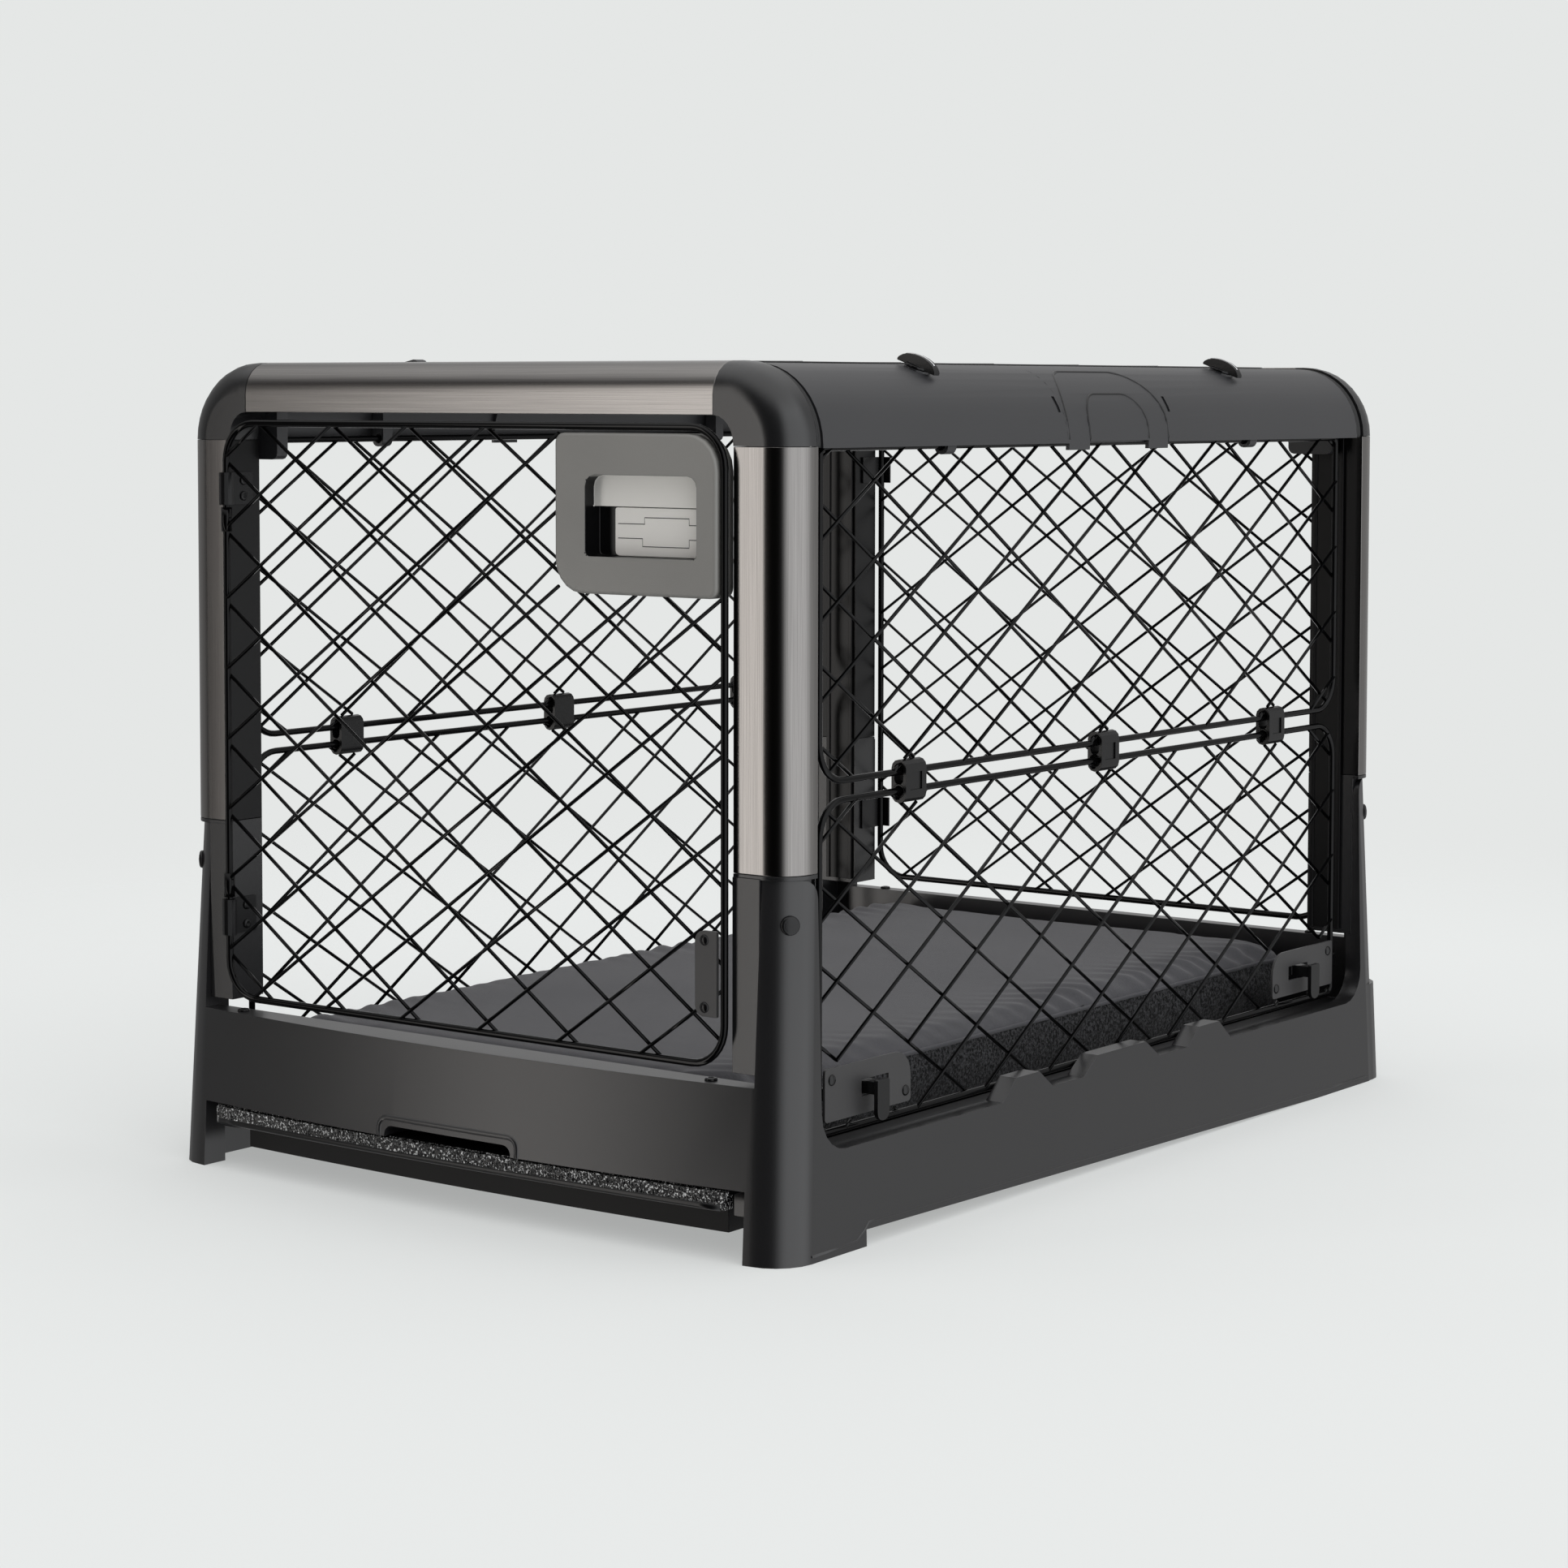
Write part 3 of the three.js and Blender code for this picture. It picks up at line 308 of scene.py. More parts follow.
def smoothed(obj, bevel=0.0):
    """Rounds the sharp edges a little and keeps flat faces flat."""
    for face in obj.data.polygons:
        face.use_smooth = True
    if bevel:
        rounding = obj.modifiers.new("rounding", "BEVEL")
        rounding.width = bevel
        rounding.segments = 2
        rounding.limit_method = "ANGLE"
        rounding.angle_limit = math.radians(BEVEL_ANGLE)
        rounding.miter_outer = "MITER_ARC"
        rounding.use_clamp_overlap = True
    weighted = obj.modifiers.new("flat_faces", "WEIGHTED_NORMAL")
    weighted.keep_sharp = True
    weighted.weight = 60
    return obj


def added(name, data, *materials):
    """A new object in the scene with its materials."""
    for material in materials:
        data.materials.append(material)
    obj = bpy.data.objects.new(name, data)
    scene.collection.objects.link(obj)
    return obj


def reworked(node, material, slot, bevel, choose=None, extra=()):
    """A finer copy of a CAD node, edges rounded by bevel metres. choose picks a material for each face."""
    shape = bmesh.new()
    shape.from_mesh(frame["nodes"][node].data)
    bmesh.ops.remove_doubles(shape, verts=shape.verts, dist=WELD_GAP)
    bmesh.ops.dissolve_limit(shape, angle_limit=math.radians(FLAT_ANGLE), verts=shape.verts,
                             edges=shape.edges)
    data = bpy.data.meshes.new(f"{node}_look")
    shape.to_mesh(data)
    shape.free()
    obj = added(f"{node}_look", data, material, *extra)
    if choose:
        for face in data.polygons:
            face.material_index = choose(face)
    smoothed(obj, bevel)
    return finish_piece(obj, BODY_OF[node], slot, node)


def mesh_piece(name, verts, faces, material):
    data = bpy.data.meshes.new(name)
    data.from_pydata([tuple(c * MM for c in v) for v in verts], [], faces)
    return added(name, data, material)


def tube(verts, faces, path, radius, closed=False, sides=12):
    """Adds a round wire along a path to lists of vertices and faces."""
    first = len(verts)
    count = len(path)
    points = [Vector(p) for p in path]
    normal = None
    for i, p in enumerate(points):
        before = points[i - 1] if i or closed else p
        after = points[(i + 1) % count] if i < count - 1 or closed else p
        direction = (after - before).normalized()
        if normal is None:
            normal = direction.orthogonal().normalized()
        normal = (normal - direction * normal.dot(direction)).normalized()
        side = direction.cross(normal)
        for k in range(sides):
            turn = 2 * math.pi * k / sides
            verts.append(p + radius * (math.cos(turn) * normal + math.sin(turn) * side))
    for i in range(count if closed else count - 1):
        j = (i + 1) % count
        shift = 0
        if closed and j == 0:
            gaps = [(verts[first + i * sides] - verts[first + m]).length for m in range(sides)]
            shift = gaps.index(min(gaps))
        for k in range(sides):
            a = first + i * sides + k
            b = first + i * sides + (k + 1) % sides
            c = first + j * sides + (k + 1 + shift) % sides
            d = first + j * sides + (k + shift) % sides
            faces.append((a, b, c, d))
    if not closed:
        faces.append(tuple(first + k for k in reversed(range(sides))))
        faces.append(tuple(first + (count - 1) * sides + k for k in range(sides)))


def wire_piece(name, verts, faces, material):
    """A mesh of round wires, smooth along them and flat on their ends."""
    obj = mesh_piece(name, verts, faces, material)
    for face in obj.data.polygons:
        face.use_smooth = len(face.vertices) == 4
    return obj


def line_piece(name, paths, material, body, slot, radius, closed=False, sides=10):
    """One or more round beads along paths, as one piece."""
    verts, faces = [], []
    for path in paths:
        tube(verts, faces, path, radius, closed=closed, sides=sides)
    return finish_piece(wire_piece(name, verts, faces, material), body, slot)


def arc_points(a, b, radius, start, stop, steps=8):
    turns = [math.radians(start + (stop - start) * i / steps) for i in range(steps + 1)]
    return [(a + radius * math.cos(t), b + radius * math.sin(t)) for t in turns]


def rounded(box, radii, steps=8):
    """Points round a rectangle with its own radius at each corner, from the lower left."""
    a0, a1, b0, b1 = box
    r0, r1, r2, r3 = radii
    corners = [(a0 + r0, b0 + r0, r0, 180), (a1 - r1, b0 + r1, r1, 270), (a1 - r2, b1 - r2, r2, 0),
               (a0 + r3, b1 - r3, r3, 90)]
    return [point for a, b, r, start in corners for point in arc_points(a, b, r, start, start + 90, steps)]


# ---- wire panels ----
# The two layers of diagonal wires: their radius and the distance of each from the plane of the panel.
LATTICE_RADIUS, LATTICE_OFFSET = 1.5, 1.3
# A diagonal is tested at this many steps, over this many half cells either way of its start.
LATTICE_STEPS, LATTICE_REACH = 4000, 30
# Room for diagonals that start beyond the panel, and the shortest wire that is kept.
LATTICE_SPARE, SHORTEST_WIRE = 800, 4

# For each kind of panel: its plane, its outline (low and high along it, then up), its border wire, the half
# cell of its lattice, the radii of its corners, and a point where two diagonals cross.
SIDE_PLANE = 302
LOWER = (-407, 407, 88.5, 341.5)
UPPER = (-407, 407, 356.5, 609.5)
SIDE_WIRE, SIDE_CELL = 5.5, (48, 30.5)
OUTER_ROUND, MIDDLE_ROUND = 6, 30
LOWER_CROSSING, UPPER_CROSSING = (0, 326.25), (0, 371.75)
DOOR_PLANE = 471.5
DOOR = (-262, 262, 145.5, 625)
DOOR_WIRE, DOOR_CELL, DOOR_ROUND = 6, (41.4, 29.4), 31
DOOR_CROSSING = (-140.6, 624)
HATCH_PLANE = 672.7
HATCH = (-233.5, 233.5, -402, 402)
HATCH_WIRE, HATCH_CELL, HATCH_ROUND = 5, (46.7, 67), 20

# Where clips, plates and the latch housing take the place of the lattice.
CLIP_PLACES, CLIP_HALF, CLIP_HEIGHT = (-288, 0, 288), 14.3, (331.7, 366.3)
PLATE_SPAN, PLATE_HEIGHT = (286, 407.9), (93, 142)
CLIP_CUTS = [(y - CLIP_HALF, y + CLIP_HALF, *CLIP_HEIGHT) for y in CLIP_PLACES]
PLATE_CUTS = [(-PLATE_SPAN[1], -PLATE_SPAN[0], *PLATE_HEIGHT), (*PLATE_SPAN, *PLATE_HEIGHT)]
HOUSING_CUT = (102, 266, 500, 629)


def inside_rounded(a, b, box, radii):
    a0, a1, b0, b1 = box
    if not (a0 <= a <= a1 and b0 <= b <= b1):
        return False
    r0, r1, r2, r3 = radii
    corners = ((a0 + r0, b0 + r0, r0, True, True), (a1 - r1, b0 + r1, r1, False, True),
               (a1 - r2, b1 - r2, r2, False, False), (a0 + r3, b1 - r3, r3, True, False))
    for ca, cb, r, left, low in corners:
        beyond_a = a < ca if left else a > ca
        beyond_b = b < cb if low else b > cb
        if beyond_a and beyond_b and math.hypot(a - ca, b - cb) > r:
            return False
    return True


def diagonal_spans(box, radii, cell, phase, slope, cutouts):
    """The stretches of every diagonal of one slope that lie in the panel and outside the cutouts."""
    a0, a1, b0, b1 = box
    reach = (b1 - b0) * cell[0] / cell[1]
    first = math.floor((a0 - reach - phase[0] - LATTICE_SPARE) / (2 * cell[0]))
    last = math.ceil((a1 + reach - phase[0] + LATTICE_SPARE) / (2 * cell[0]))
    spans = []
    for k in range(first, last + 1):
        start = phase[0] + 2 * cell[0] * k
        run = None
        for i in range(LATTICE_STEPS + 1):
            t = (i / LATTICE_STEPS - 0.5) * 2 * LATTICE_REACH
            a, b = start + cell[0] * t, phase[1] + slope * cell[1] * t
            cut = any(c[0] < a < c[1] and c[2] < b < c[3] for c in cutouts)
            if inside_rounded(a, b, box, radii) and not cut:
                run = (run[0], (a, b)) if run else ((a, b), (a, b))
            elif run:
                spans.append(run)
                run = None
        if run:
            spans.append(run)
    return [s for s in spans if math.dist(*s) > SHORTEST_WIRE]


def wire_panel(node, box, radii, wire, cell, phase, along, plane, cutouts=()):
    """A border wire and two layers of diagonal wires, in the plane across the axis that along names."""
    def world(a, b, n):
        if along == "x":
            return plane + n, a, b
        if along == "y":
            return a, plane - n, b
        return a, b, plane + n

    verts, faces = [], []
    border = [world(a, b, 0) for a, b in rounded(box, radii)]
    tube(verts, faces, border, wire / 2, closed=True, sides=14)
    for slope in (1, -1):
        off = slope * LATTICE_OFFSET
        for (a0, b0), (a1, b1) in diagonal_spans(box, radii, cell, phase, slope, cutouts):
            tube(verts, faces, [world(a0, b0, off), world(a1, b1, off)], LATTICE_RADIUS, sides=10)
    return finish_piece(wire_piece(f"{node}_wires", verts, faces, GLOSS), BODY_OF[node], "wire", node)


def side_panel(node, box, radii, crossing, sign, cutouts):
    wire_panel(node, box, radii, SIDE_WIRE, SIDE_CELL, crossing, "x", sign * SIDE_PLANE, cutouts)


def end_panel(node, sign, cutouts=()):
    radii = (DOOR_ROUND,) * 4
    wire_panel(node, DOOR, radii, DOOR_WIRE, DOOR_CELL, DOOR_CROSSING, "y", sign * DOOR_PLANE, cutouts)


LOWER_RADII = (OUTER_ROUND, OUTER_ROUND, MIDDLE_ROUND, MIDDLE_ROUND)
UPPER_RADII = (MIDDLE_ROUND, MIDDLE_ROUND, OUTER_ROUND, OUTER_ROUND)
for side, sign, cuts in (("left", -1, CLIP_CUTS), ("right", 1, CLIP_CUTS + PLATE_CUTS)):
    side_panel(f"{side}_lower_panel", LOWER, LOWER_RADII, LOWER_CROSSING, sign, cuts)
    side_panel(f"{side}_upper_panel", UPPER, UPPER_RADII, UPPER_CROSSING, sign, CLIP_CUTS)
end_panel("front_door_panel", -1, [HOUSING_CUT])
end_panel("rear_wire_panel", 1)
wire_panel("roof_hatch_panel", HATCH, (HATCH_ROUND,) * 4, HATCH_WIRE, HATCH_CELL, (0, 0), "z", HATCH_PLANE)

# ---- CAD nodes with finer edges ----
CORNERS = [f"{end}_{side}" for end in ("front", "rear") for side in ("left", "right")]
# A face looks along an axis when its normal has more than this share along it.
FACING = 0.7
# The latch housing: the depth where its recess starts, the recess's outline across and up, the depth beyond
# which its back is painted black as shade, the height below which its ledges are painted black as shade, and
# the least normal of its end wall that is painted black as shade.
RECESS_START, RECESS = -476, (130.5, 239.5, 525.5, 588.5)
SHADE_PAINTED_BEYOND, SHADE_PAINTED_BELOW, SHADE_WALL_NORMAL = -463, 565, 0.3
# The pebbled face of the tray's lip: the depth and the height where it starts.
LIP_START, LIP_LOW = -466, 38


def towards_cabin(face):
    """The faces of a post that look at the cabin are covered in black."""
    across = -math.copysign(1, face.center.x) * face.normal.x
    along = -math.copysign(1, face.center.y) * face.normal.y
    return 1 if across > FACING or along > FACING else 0


def recess_with_painted_shade(face):
    """The recess of the housing is smooth inside. Its deep back where the fingertip goes in, its end wall and
    its lower ledges are painted black as shade.
    """
    x, y, z = (c / MM for c in face.center)
    x0, x1, z0, z1 = RECESS
    if y < RECESS_START or not (x0 < x < x1 and z0 < z < z1):
        return 0
    # Index 2, the black material, is painted shade.
    if face.normal.y < -FACING:
        return 2 if y > SHADE_PAINTED_BEYOND else 1
    return 2 if face.normal.x > SHADE_WALL_NORMAL or abs(face.normal.z) > FACING and z < SHADE_PAINTED_BELOW else 0


def on_lip(face):
    return 1 if face.center.y / MM < LIP_START and face.center.z / MM > LIP_LOW else 0


reworked("base_frame", MOULDED, "moulded", bevel=0.0030)
for corner in CORNERS:
    reworked(f"{corner}_foot", FRAME_PLASTIC, "moulded", bevel=0.0008)
    reworked(f"{corner}_elbow", FRAME_PLASTIC, "moulded", bevel=0.0006)
    reworked(f"{corner}_post", POST_METAL, "aluminium", bevel=0.0006, choose=towards_cabin, extra=(LINER,))
    reworked(f"{corner}_track_liner", LINER, "black_plastic", bevel=0.0004)
    reworked(f"{corner}_pivot_screw", BLACK_STEEL, "black_steel", bevel=0.0003)
for end in ("front", "rear"):
    reworked(f"{end}_top_bar", BAR_METAL, "aluminium", bevel=0.0006)
    reworked(f"{end}_roof_beam", BLACK, "rail", bevel=0.0008)
    reworked(f"{end}_turn_latch", BLACK, "black_plastic", bevel=0.0005)
    reworked(f"right_{end}_latch_plate", PLATE, "plate", bevel=0.0003)
    reworked(f"right_{end}_side_latch", BLACK, "black_plastic", bevel=0.0006)
    reworked(f"right_{end}_bush", BLACK, "black_plastic", bevel=0.0002)
for side in ("left", "right"):
    reworked(f"{side}_roof_rail", RAIL, "rail", bevel=0.0005)
    reworked(f"{side}_carry_handle", RAIL, "rail", bevel=0.0007)
    for row in ("front", "middle", "rear"):
        reworked(f"{side}_{row}_clip", BLACK, "black_plastic", bevel=0.0008)
for level in ("upper", "lower"):
    reworked(f"{level}_door_hinge", BLACK_STEEL, "black_steel", bevel=0.0003)
    reworked(f"{level}_rear_clamp", BLACK_STEEL, "black_steel", bevel=0.0003)
reworked("door_strike_plate", PLATE, "plate", bevel=0.0003)
reworked("door_latch_slider", HOUSING_LIGHT, "housing", bevel=0.0005)
# The housing's third material, black, is painted shade in its recess.
reworked("door_latch_housing", HOUSING, "housing", bevel=0.0012, choose=recess_with_painted_shade,
         extra=(HOUSING_LIGHT, BLACK))
reworked("tray", TRAY, "tray", bevel=0.0015, choose=on_lip, extra=(TRAY_LIP,))

# ---- small parts on the CAD nodes ----
RAIL_AXIS, RAIL_LEVEL, RAIL_RADIUS = 254, 611, 62.5
# Half sizes of the base on the floor, its taper per millimetre of height across and along, its front's bow.
BASE_HALF, TAPER = (325, 480), (0.0215 / 288, 0.03125 / 288)
BOW, BOW_HALF = 17, 291
NOTCH_HALF, NOTCH_ROUND, NOTCH_FOOT, NOTCH_TOP = 73, 9, 54.5, 70.5
ARCH_TOP, ARCH_SPAN = 13, (-375, 400)
BEAD_LEVEL, BEAD_END, BEAD_PLACES = 5.5, 440, range(-366, 401, 32)
# Along the side and up: the bead under the front foot, up to where the arch starts.
FOOT_LINE = [(-446, BEAD_LEVEL), (-410, BEAD_LEVEL), (-388, 6.5), (-377, 13), (-372, 18)]
LIP_FRONT, LIP_BOW, LIP_HALF = -479.5, 8, 269
LIP_RIM_LEVEL, LIP_RIM_PLACES = 41.2, range(-266, 267, 19)
# Rings beside the elbows: name, place along, radius. Then their distance from the rail's axis and their end.
SEAMS = (("ring", 427.4, 1.7), ("lip", 425, 1.5), ("edge", 430, 1.5))
SEAM_REACH, SEAM_END = 60.6, (246, 671.6)
# Outlines of a handle and of its finger hole: half width, top, corner radius. Both start at the same height.
GRIPS, GRIP_FOOT = ((79.2, 668.2, 40), (46.8, 649.8, 26)), 612.5
LATCH_PLACE, LATCH_TILT = 240, 20
CREST_HALF, CREST_LEVEL, CREST_RISE, CREST_SUNK = 19, 64, 9.4, 0.2
CREST_TURNS = [math.radians(a) for a in range(40, 141, 10)]
SLIDER_FACE = -465.95
# Profiles of screw and rivet heads, as radius and height in shares of the head's radius.
SOCKET_HEAD = [(1, -0.2), (1, 0.18), (0.94, 0.34), (0.8, 0.42), (0.5, 0.46), (0.44, 0.4), (0.4, 0.12)]
ROUND_HEAD = [(1, -0.2), (1, 0.1), (0.9, 0.28), (0.7, 0.42), (0.4, 0.52), (0.15, 0.55)]
# Degrees that a pivot screw points away from straight out, and how deep its head sits.
PIVOT_TURN, PIVOT_SUNK = 40, 1.5
# Heights of the hinges, and where their screws and sleeves lie on them.
HINGES, HINGE_FACE = (("upper", (557, 584)), ("lower", (197, 227))), (-262.9, -451)
HINGE_EDGE, SLEEVE_SPAN = 7, (2, 22)
LEDGE_LEVEL, LEDGE_SCREWS = 132.8, ((-252, -466), (245, -466), (-250, 464), (250, 464))
PLATE_FACE, PLATE_RIVETS = 305.7, ((395, 129), (297, 106))
STRIKE_RIVETS = [(247, -476.6, 190), (247, -476.6, 241)]


def turned(name, places, profile, material, body, slot, sides=24):
    """Copies of a round part, as one piece. profile: radii and heights. places: centres and directions."""
    verts, faces = [], []
    for centre, direction in places:
        up = Vector(direction).normalized()
        across = up.orthogonal().normalized()
        beside = up.cross(across)
        first = len(verts)
        for radius, height in profile:
            for k in range(sides):
                turn = 2 * math.pi * k / sides
                spoke = math.cos(turn) * across + math.sin(turn) * beside
                verts.append(Vector(centre) + height * up + radius * spoke)
        for ring in range(len(profile) - 1):
            for k in range(sides):
                a, b = first + ring * sides + k, first + ring * sides + (k + 1) % sides
                faces.append((a, b, b + sides, a + sides))
        faces.append(tuple(first + k for k in reversed(range(sides))))
        faces.append(tuple(first + (len(profile) - 1) * sides + k for k in range(sides)))
    return finish_piece(smoothed(mesh_piece(name, verts, faces, material)), body, slot)


def head(profile, radius):
    return [(radius * r, radius * h) for r, h in profile]


def front_face(x, z, proud):
    """A point on the bowed front of the base."""
    bow = BOW * (1 - (x / (1 - TAPER[0] * z) / BOW_HALF) ** 2)
    return x, -(BASE_HALF[1] + bow) * (1 - TAPER[1] * z) - proud, z


def side_face(sign, y, z, proud):
    return sign * (BASE_HALF[0] * (1 - TAPER[0] * z) + proud), y, z


def base_beads():
    """Raised rim round the finger notch, and the bead along the lower edge of each side."""
    middle, level = NOTCH_HALF - NOTCH_ROUND, NOTCH_TOP - NOTCH_ROUND
    notch = [(-NOTCH_HALF, NOTCH_FOOT), *arc_points(-middle, level, NOTCH_ROUND, 180, 90),
             *[(x, NOTCH_TOP) for x in (-30, 0, 30)],
             *arc_points(middle, level, NOTCH_ROUND, 90, 0), (NOTCH_HALF, NOTCH_FOOT)]
    line_piece("notch_rim", [[front_face(x, z, proud=-1.5) for x, z in notch]], MOULDED, "frame", "moulded",
               radius=2.7)
    start, stop = ARCH_SPAN
    lift = [(y, BEAD_LEVEL + ARCH_TOP * (stop - y) / (stop - start)) for y in BEAD_PLACES]
    for side, sign in (("left", -1), ("right", 1)):
        route = [side_face(sign, y, z, proud=-0.9) for y, z in FOOT_LINE + lift + [(BEAD_END, BEAD_LEVEL)]]
        line_piece(f"{side}_base_bead", [route], MOULDED, "frame", "moulded", radius=1.5)


def tray_rim():
    """Round black bead under the pebbled face of the tray's front lip."""
    outline = [(x, LIP_FRONT - LIP_BOW * (1 - (x / LIP_HALF) ** 2), LIP_RIM_LEVEL)
               for x in LIP_RIM_PLACES]
    line_piece("tray_lip_rim", [outline], BLACK, "tray", "tray", radius=3.2, sides=14)


def seam_rings():
    """Black rings that close the gap between the elbows and the roof rails."""
    route = arc_points(RAIL_AXIS, RAIL_LEVEL, SEAM_REACH, start=-1, stop=90, steps=24) + [SEAM_END]
    for corner in CORNERS:
        sx = -1 if "left" in corner else 1
        sy = -1 if "front" in corner else 1
        for part, y, radius in SEAMS:
            path = [(sx * x, sy * y, z) for x, z in route]
            line_piece(f"{corner}_seam_{part}", [path], BLACK, "frame", "moulded", radius)


def on_rail(sign, y, z, proud):
    reach = RAIL_RADIUS + proud
    return sign * (RAIL_AXIS + math.sqrt(max(reach ** 2 - (z - RAIL_LEVEL) ** 2, 0))), y, z


def grip_line(half, top, corner):
    left = arc_points(-half + corner, top - corner, corner, start=180, stop=90, steps=12)
    right = [(-y, z) for y, z in reversed(left)]
    return [(-half, GRIP_FOOT), *left, (0, top), *right, (half, GRIP_FOOT)]


def handle_grooves():
    for side, sign in (("left", -1), ("right", 1)):
        paths = [[on_rail(sign, y, z, proud=-0.6) for y, z in grip_line(*grip)] for grip in GRIPS]
        line_piece(f"{side}_handle_groove", paths, BLACK, "roof", "rail", radius=1.15)


def latch_stripes():
    """Bright stripe along the crest of each turn latch."""
    tilt = math.radians(LATCH_TILT)
    along, up = math.cos(tilt), math.sin(tilt)
    crest = [(CREST_HALF * math.cos(t), CREST_LEVEL + CREST_RISE * math.sin(t) - CREST_SUNK)
             for t in CREST_TURNS]
    for end, sign in (("front", -1), ("rear", 1)):
        path = [(RAIL_AXIS + u * along + w * up, sign * LATCH_PLACE, RAIL_LEVEL - u * up + w * along)
                for u, w in crest]
        line_piece(f"{end}_turn_latch_stripe", [path], BRIGHT, f"{end}_turn_latch", "plate", radius=0.8)


def slider_cross():
    """Stepped plus engraved on the slider of the door latch."""
    upper = [(155, 551), (181, 551), (181, 556), (224, 556), (224, 551), (237.5, 551)]
    lower = [(155, 540), (179, 540), (179, 534), (224, 534), (224, 540), (237.5, 540)]
    paths = [[(x, SLIDER_FACE, z) for x, z in route] for route in (upper, lower)]
    line_piece("slider_groove", paths, PLATE, "latch_slider", "housing", radius=0.35, sides=6)


def pivot_heads():
    """The round heads of the screws that the end frames pivot on."""
    turn = math.radians(PIVOT_TURN)
    profile = head(SOCKET_HEAD, radius=7.5)
    for corner in CORNERS:
        low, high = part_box(f"{corner}_pivot_screw")
        sx = -1 if "left" in corner else 1
        sy = -1 if "front" in corner else 1
        way = (sx * math.cos(turn), sy * math.sin(turn), 0)
        seat = [(a + b) / 2 / MM - PIVOT_SUNK * w for a, b, w in zip(low, high, way)]
        turned(f"{corner}_pivot_head", [(seat, way)], profile, BLACK_STEEL, "frame", "black_steel")


def hinge_fixings():
    """Two screws in each hinge of the front door, and the sleeve on the door's wire beside it."""
    profile = head(SOCKET_HEAD, radius=4)
    for level, (low, high) in HINGES:
        places = [((*HINGE_FACE, z), (1, 0, 0)) for z in (low + HINGE_EDGE, high - HINGE_EDGE)]
        turned(f"{level}_hinge_screws", places, profile, BLACK_STEEL, "frame", "black_steel")
        near, far = SLEEVE_SPAN
        sleeve = (high + near, high + far) if level == "lower" else (low - far, low - near)
        route = [(DOOR[0], -DOOR_PLANE, z) for z in sleeve]
        line_piece(f"{level}_hinge_sleeve", [route], GLOSS, "front_door", "wire", radius=4.5, sides=20)


def plain_fixings():
    """Screws in the ledges, rivets through the latch plates and through the strike plate."""
    ledge = [((x, y, LEDGE_LEVEL), (0, 0, 1)) for x, y in LEDGE_SCREWS]
    turned("ledge_screws", ledge, head(SOCKET_HEAD, radius=5), BLACK_STEEL, "frame", "black_steel")
    rivet = head(ROUND_HEAD, radius=4.4)
    for end, sign in (("front", -1), ("rear", 1)):
        places = [((PLATE_FACE, sign * y, z), (1, 0, 0)) for y, z in PLATE_RIVETS]
        turned(f"right_{end}_plate_rivets", places, rivet, BLACK_STEEL, "right_lower", "black_steel")
    studs = [(place, (0, -1, 0)) for place in STRIKE_RIVETS]
    turned("strike_rivets", studs, head(ROUND_HEAD, radius=4.2), BLACK_STEEL, "front_door", "black_steel")


base_beads()
tray_rim()
seam_rings()
handle_grooves()
latch_stripes()
slider_cross()
pivot_heads()
hinge_fixings()
plain_fixings()

# ---- mat ----
MAT_BODY = BODY_OF["mat"]
MAT_HALF, MAT_Z, MAT_CORNER, MAT_EDGE = (250, 451), (54.4, 126), 30, 9
# The cushion starts this much smaller on every side, and no point swells further than the cap.
MAT_INSET, SWELL_CAP = 7, 7
MAT_VOXEL, CLOTH_STEPS = 6, 14
SEAM_LEVEL, PIPING_RADIUS, PIPING_STEP = 111, 1.8, 12
# Wrinkles: height, length of a radian along the mat, distance of their band from the edge, its half width.
WRINKLE_HEIGHT, WRINKLE_LENGTH, WRINKLE_BAND, WRINKLE_WIDTH = 2.4, 4.6, 30, 34
# How far the wrinkles lean with distance from the edge, and how far and over what distances they drift.
WRINKLE_LEAN, DRIFT, DRIFT_SIZE = 0.45, 22, (110, 70)
# The wrinkles come in patches of this length, with this share added to the noise that places them.
PATCH_SIZE, PATCH_SHARE = 75, 0.55
DIMPLE_HEIGHT, DIMPLE_SIZE = 1.6, 140
# Dents in the sides: depth, and how often they change across, along and up in a metre.
DENT_DEPTH, DENT_RATE = 0.8, (9, 14, 30)
# In metres: the rise of an upright edge, where the wrinkles start and the height over which they reach their
# full size, the heights between which the sides are dented, how far out a side starts, the gap under the mat.
UPRIGHT_RISE, WRINKLE_START, WRINKLE_RISE = 0.01, 0.080, 0.025
DENT_LOW, DENT_HIGH, SIDE_START, UNDER_GAP = 0.058, 0.1, (0.225, 0.425), 0.0005
# In radians.
SHARP_ANGLE = 0.9


def mat_shape():
    """A rounded box a little smaller than the CAD mat."""
    low, high = MAT_Z
    shape = bmesh.new()
    bmesh.ops.create_cube(shape, size=1)
    for v in shape.verts:
        v.co.x *= 2 * (MAT_HALF[0] - MAT_INSET) * MM
        v.co.y *= 2 * (MAT_HALF[1] - MAT_INSET) * MM
        v.co.z = ((low + high) / 2 + (high - low - 2 * MAT_INSET) * v.co.z) * MM
    upright = [e for e in shape.edges if abs((e.verts[0].co - e.verts[1].co).z) > UPRIGHT_RISE]
    bmesh.ops.bevel(shape, geom=upright, offset=MAT_CORNER * MM, segments=6, profile=0.5, affect="EDGES")
    sharp = [e for e in shape.edges if e.calc_face_angle(0) > SHARP_ANGLE]
    bmesh.ops.bevel(shape, geom=sharp, offset=MAT_EDGE * MM, segments=3, profile=0.5, affect="EDGES")
    data = bpy.data.meshes.new("mat_cushion")
    shape.to_mesh(data)
    shape.free()
    return added("mat_cushion", data)


def remeshed(obj, size):
    bpy.context.view_layer.objects.active = obj
    obj.select_set(True)
    obj.data.remesh_voxel_size = size
    bpy.ops.object.voxel_remesh()


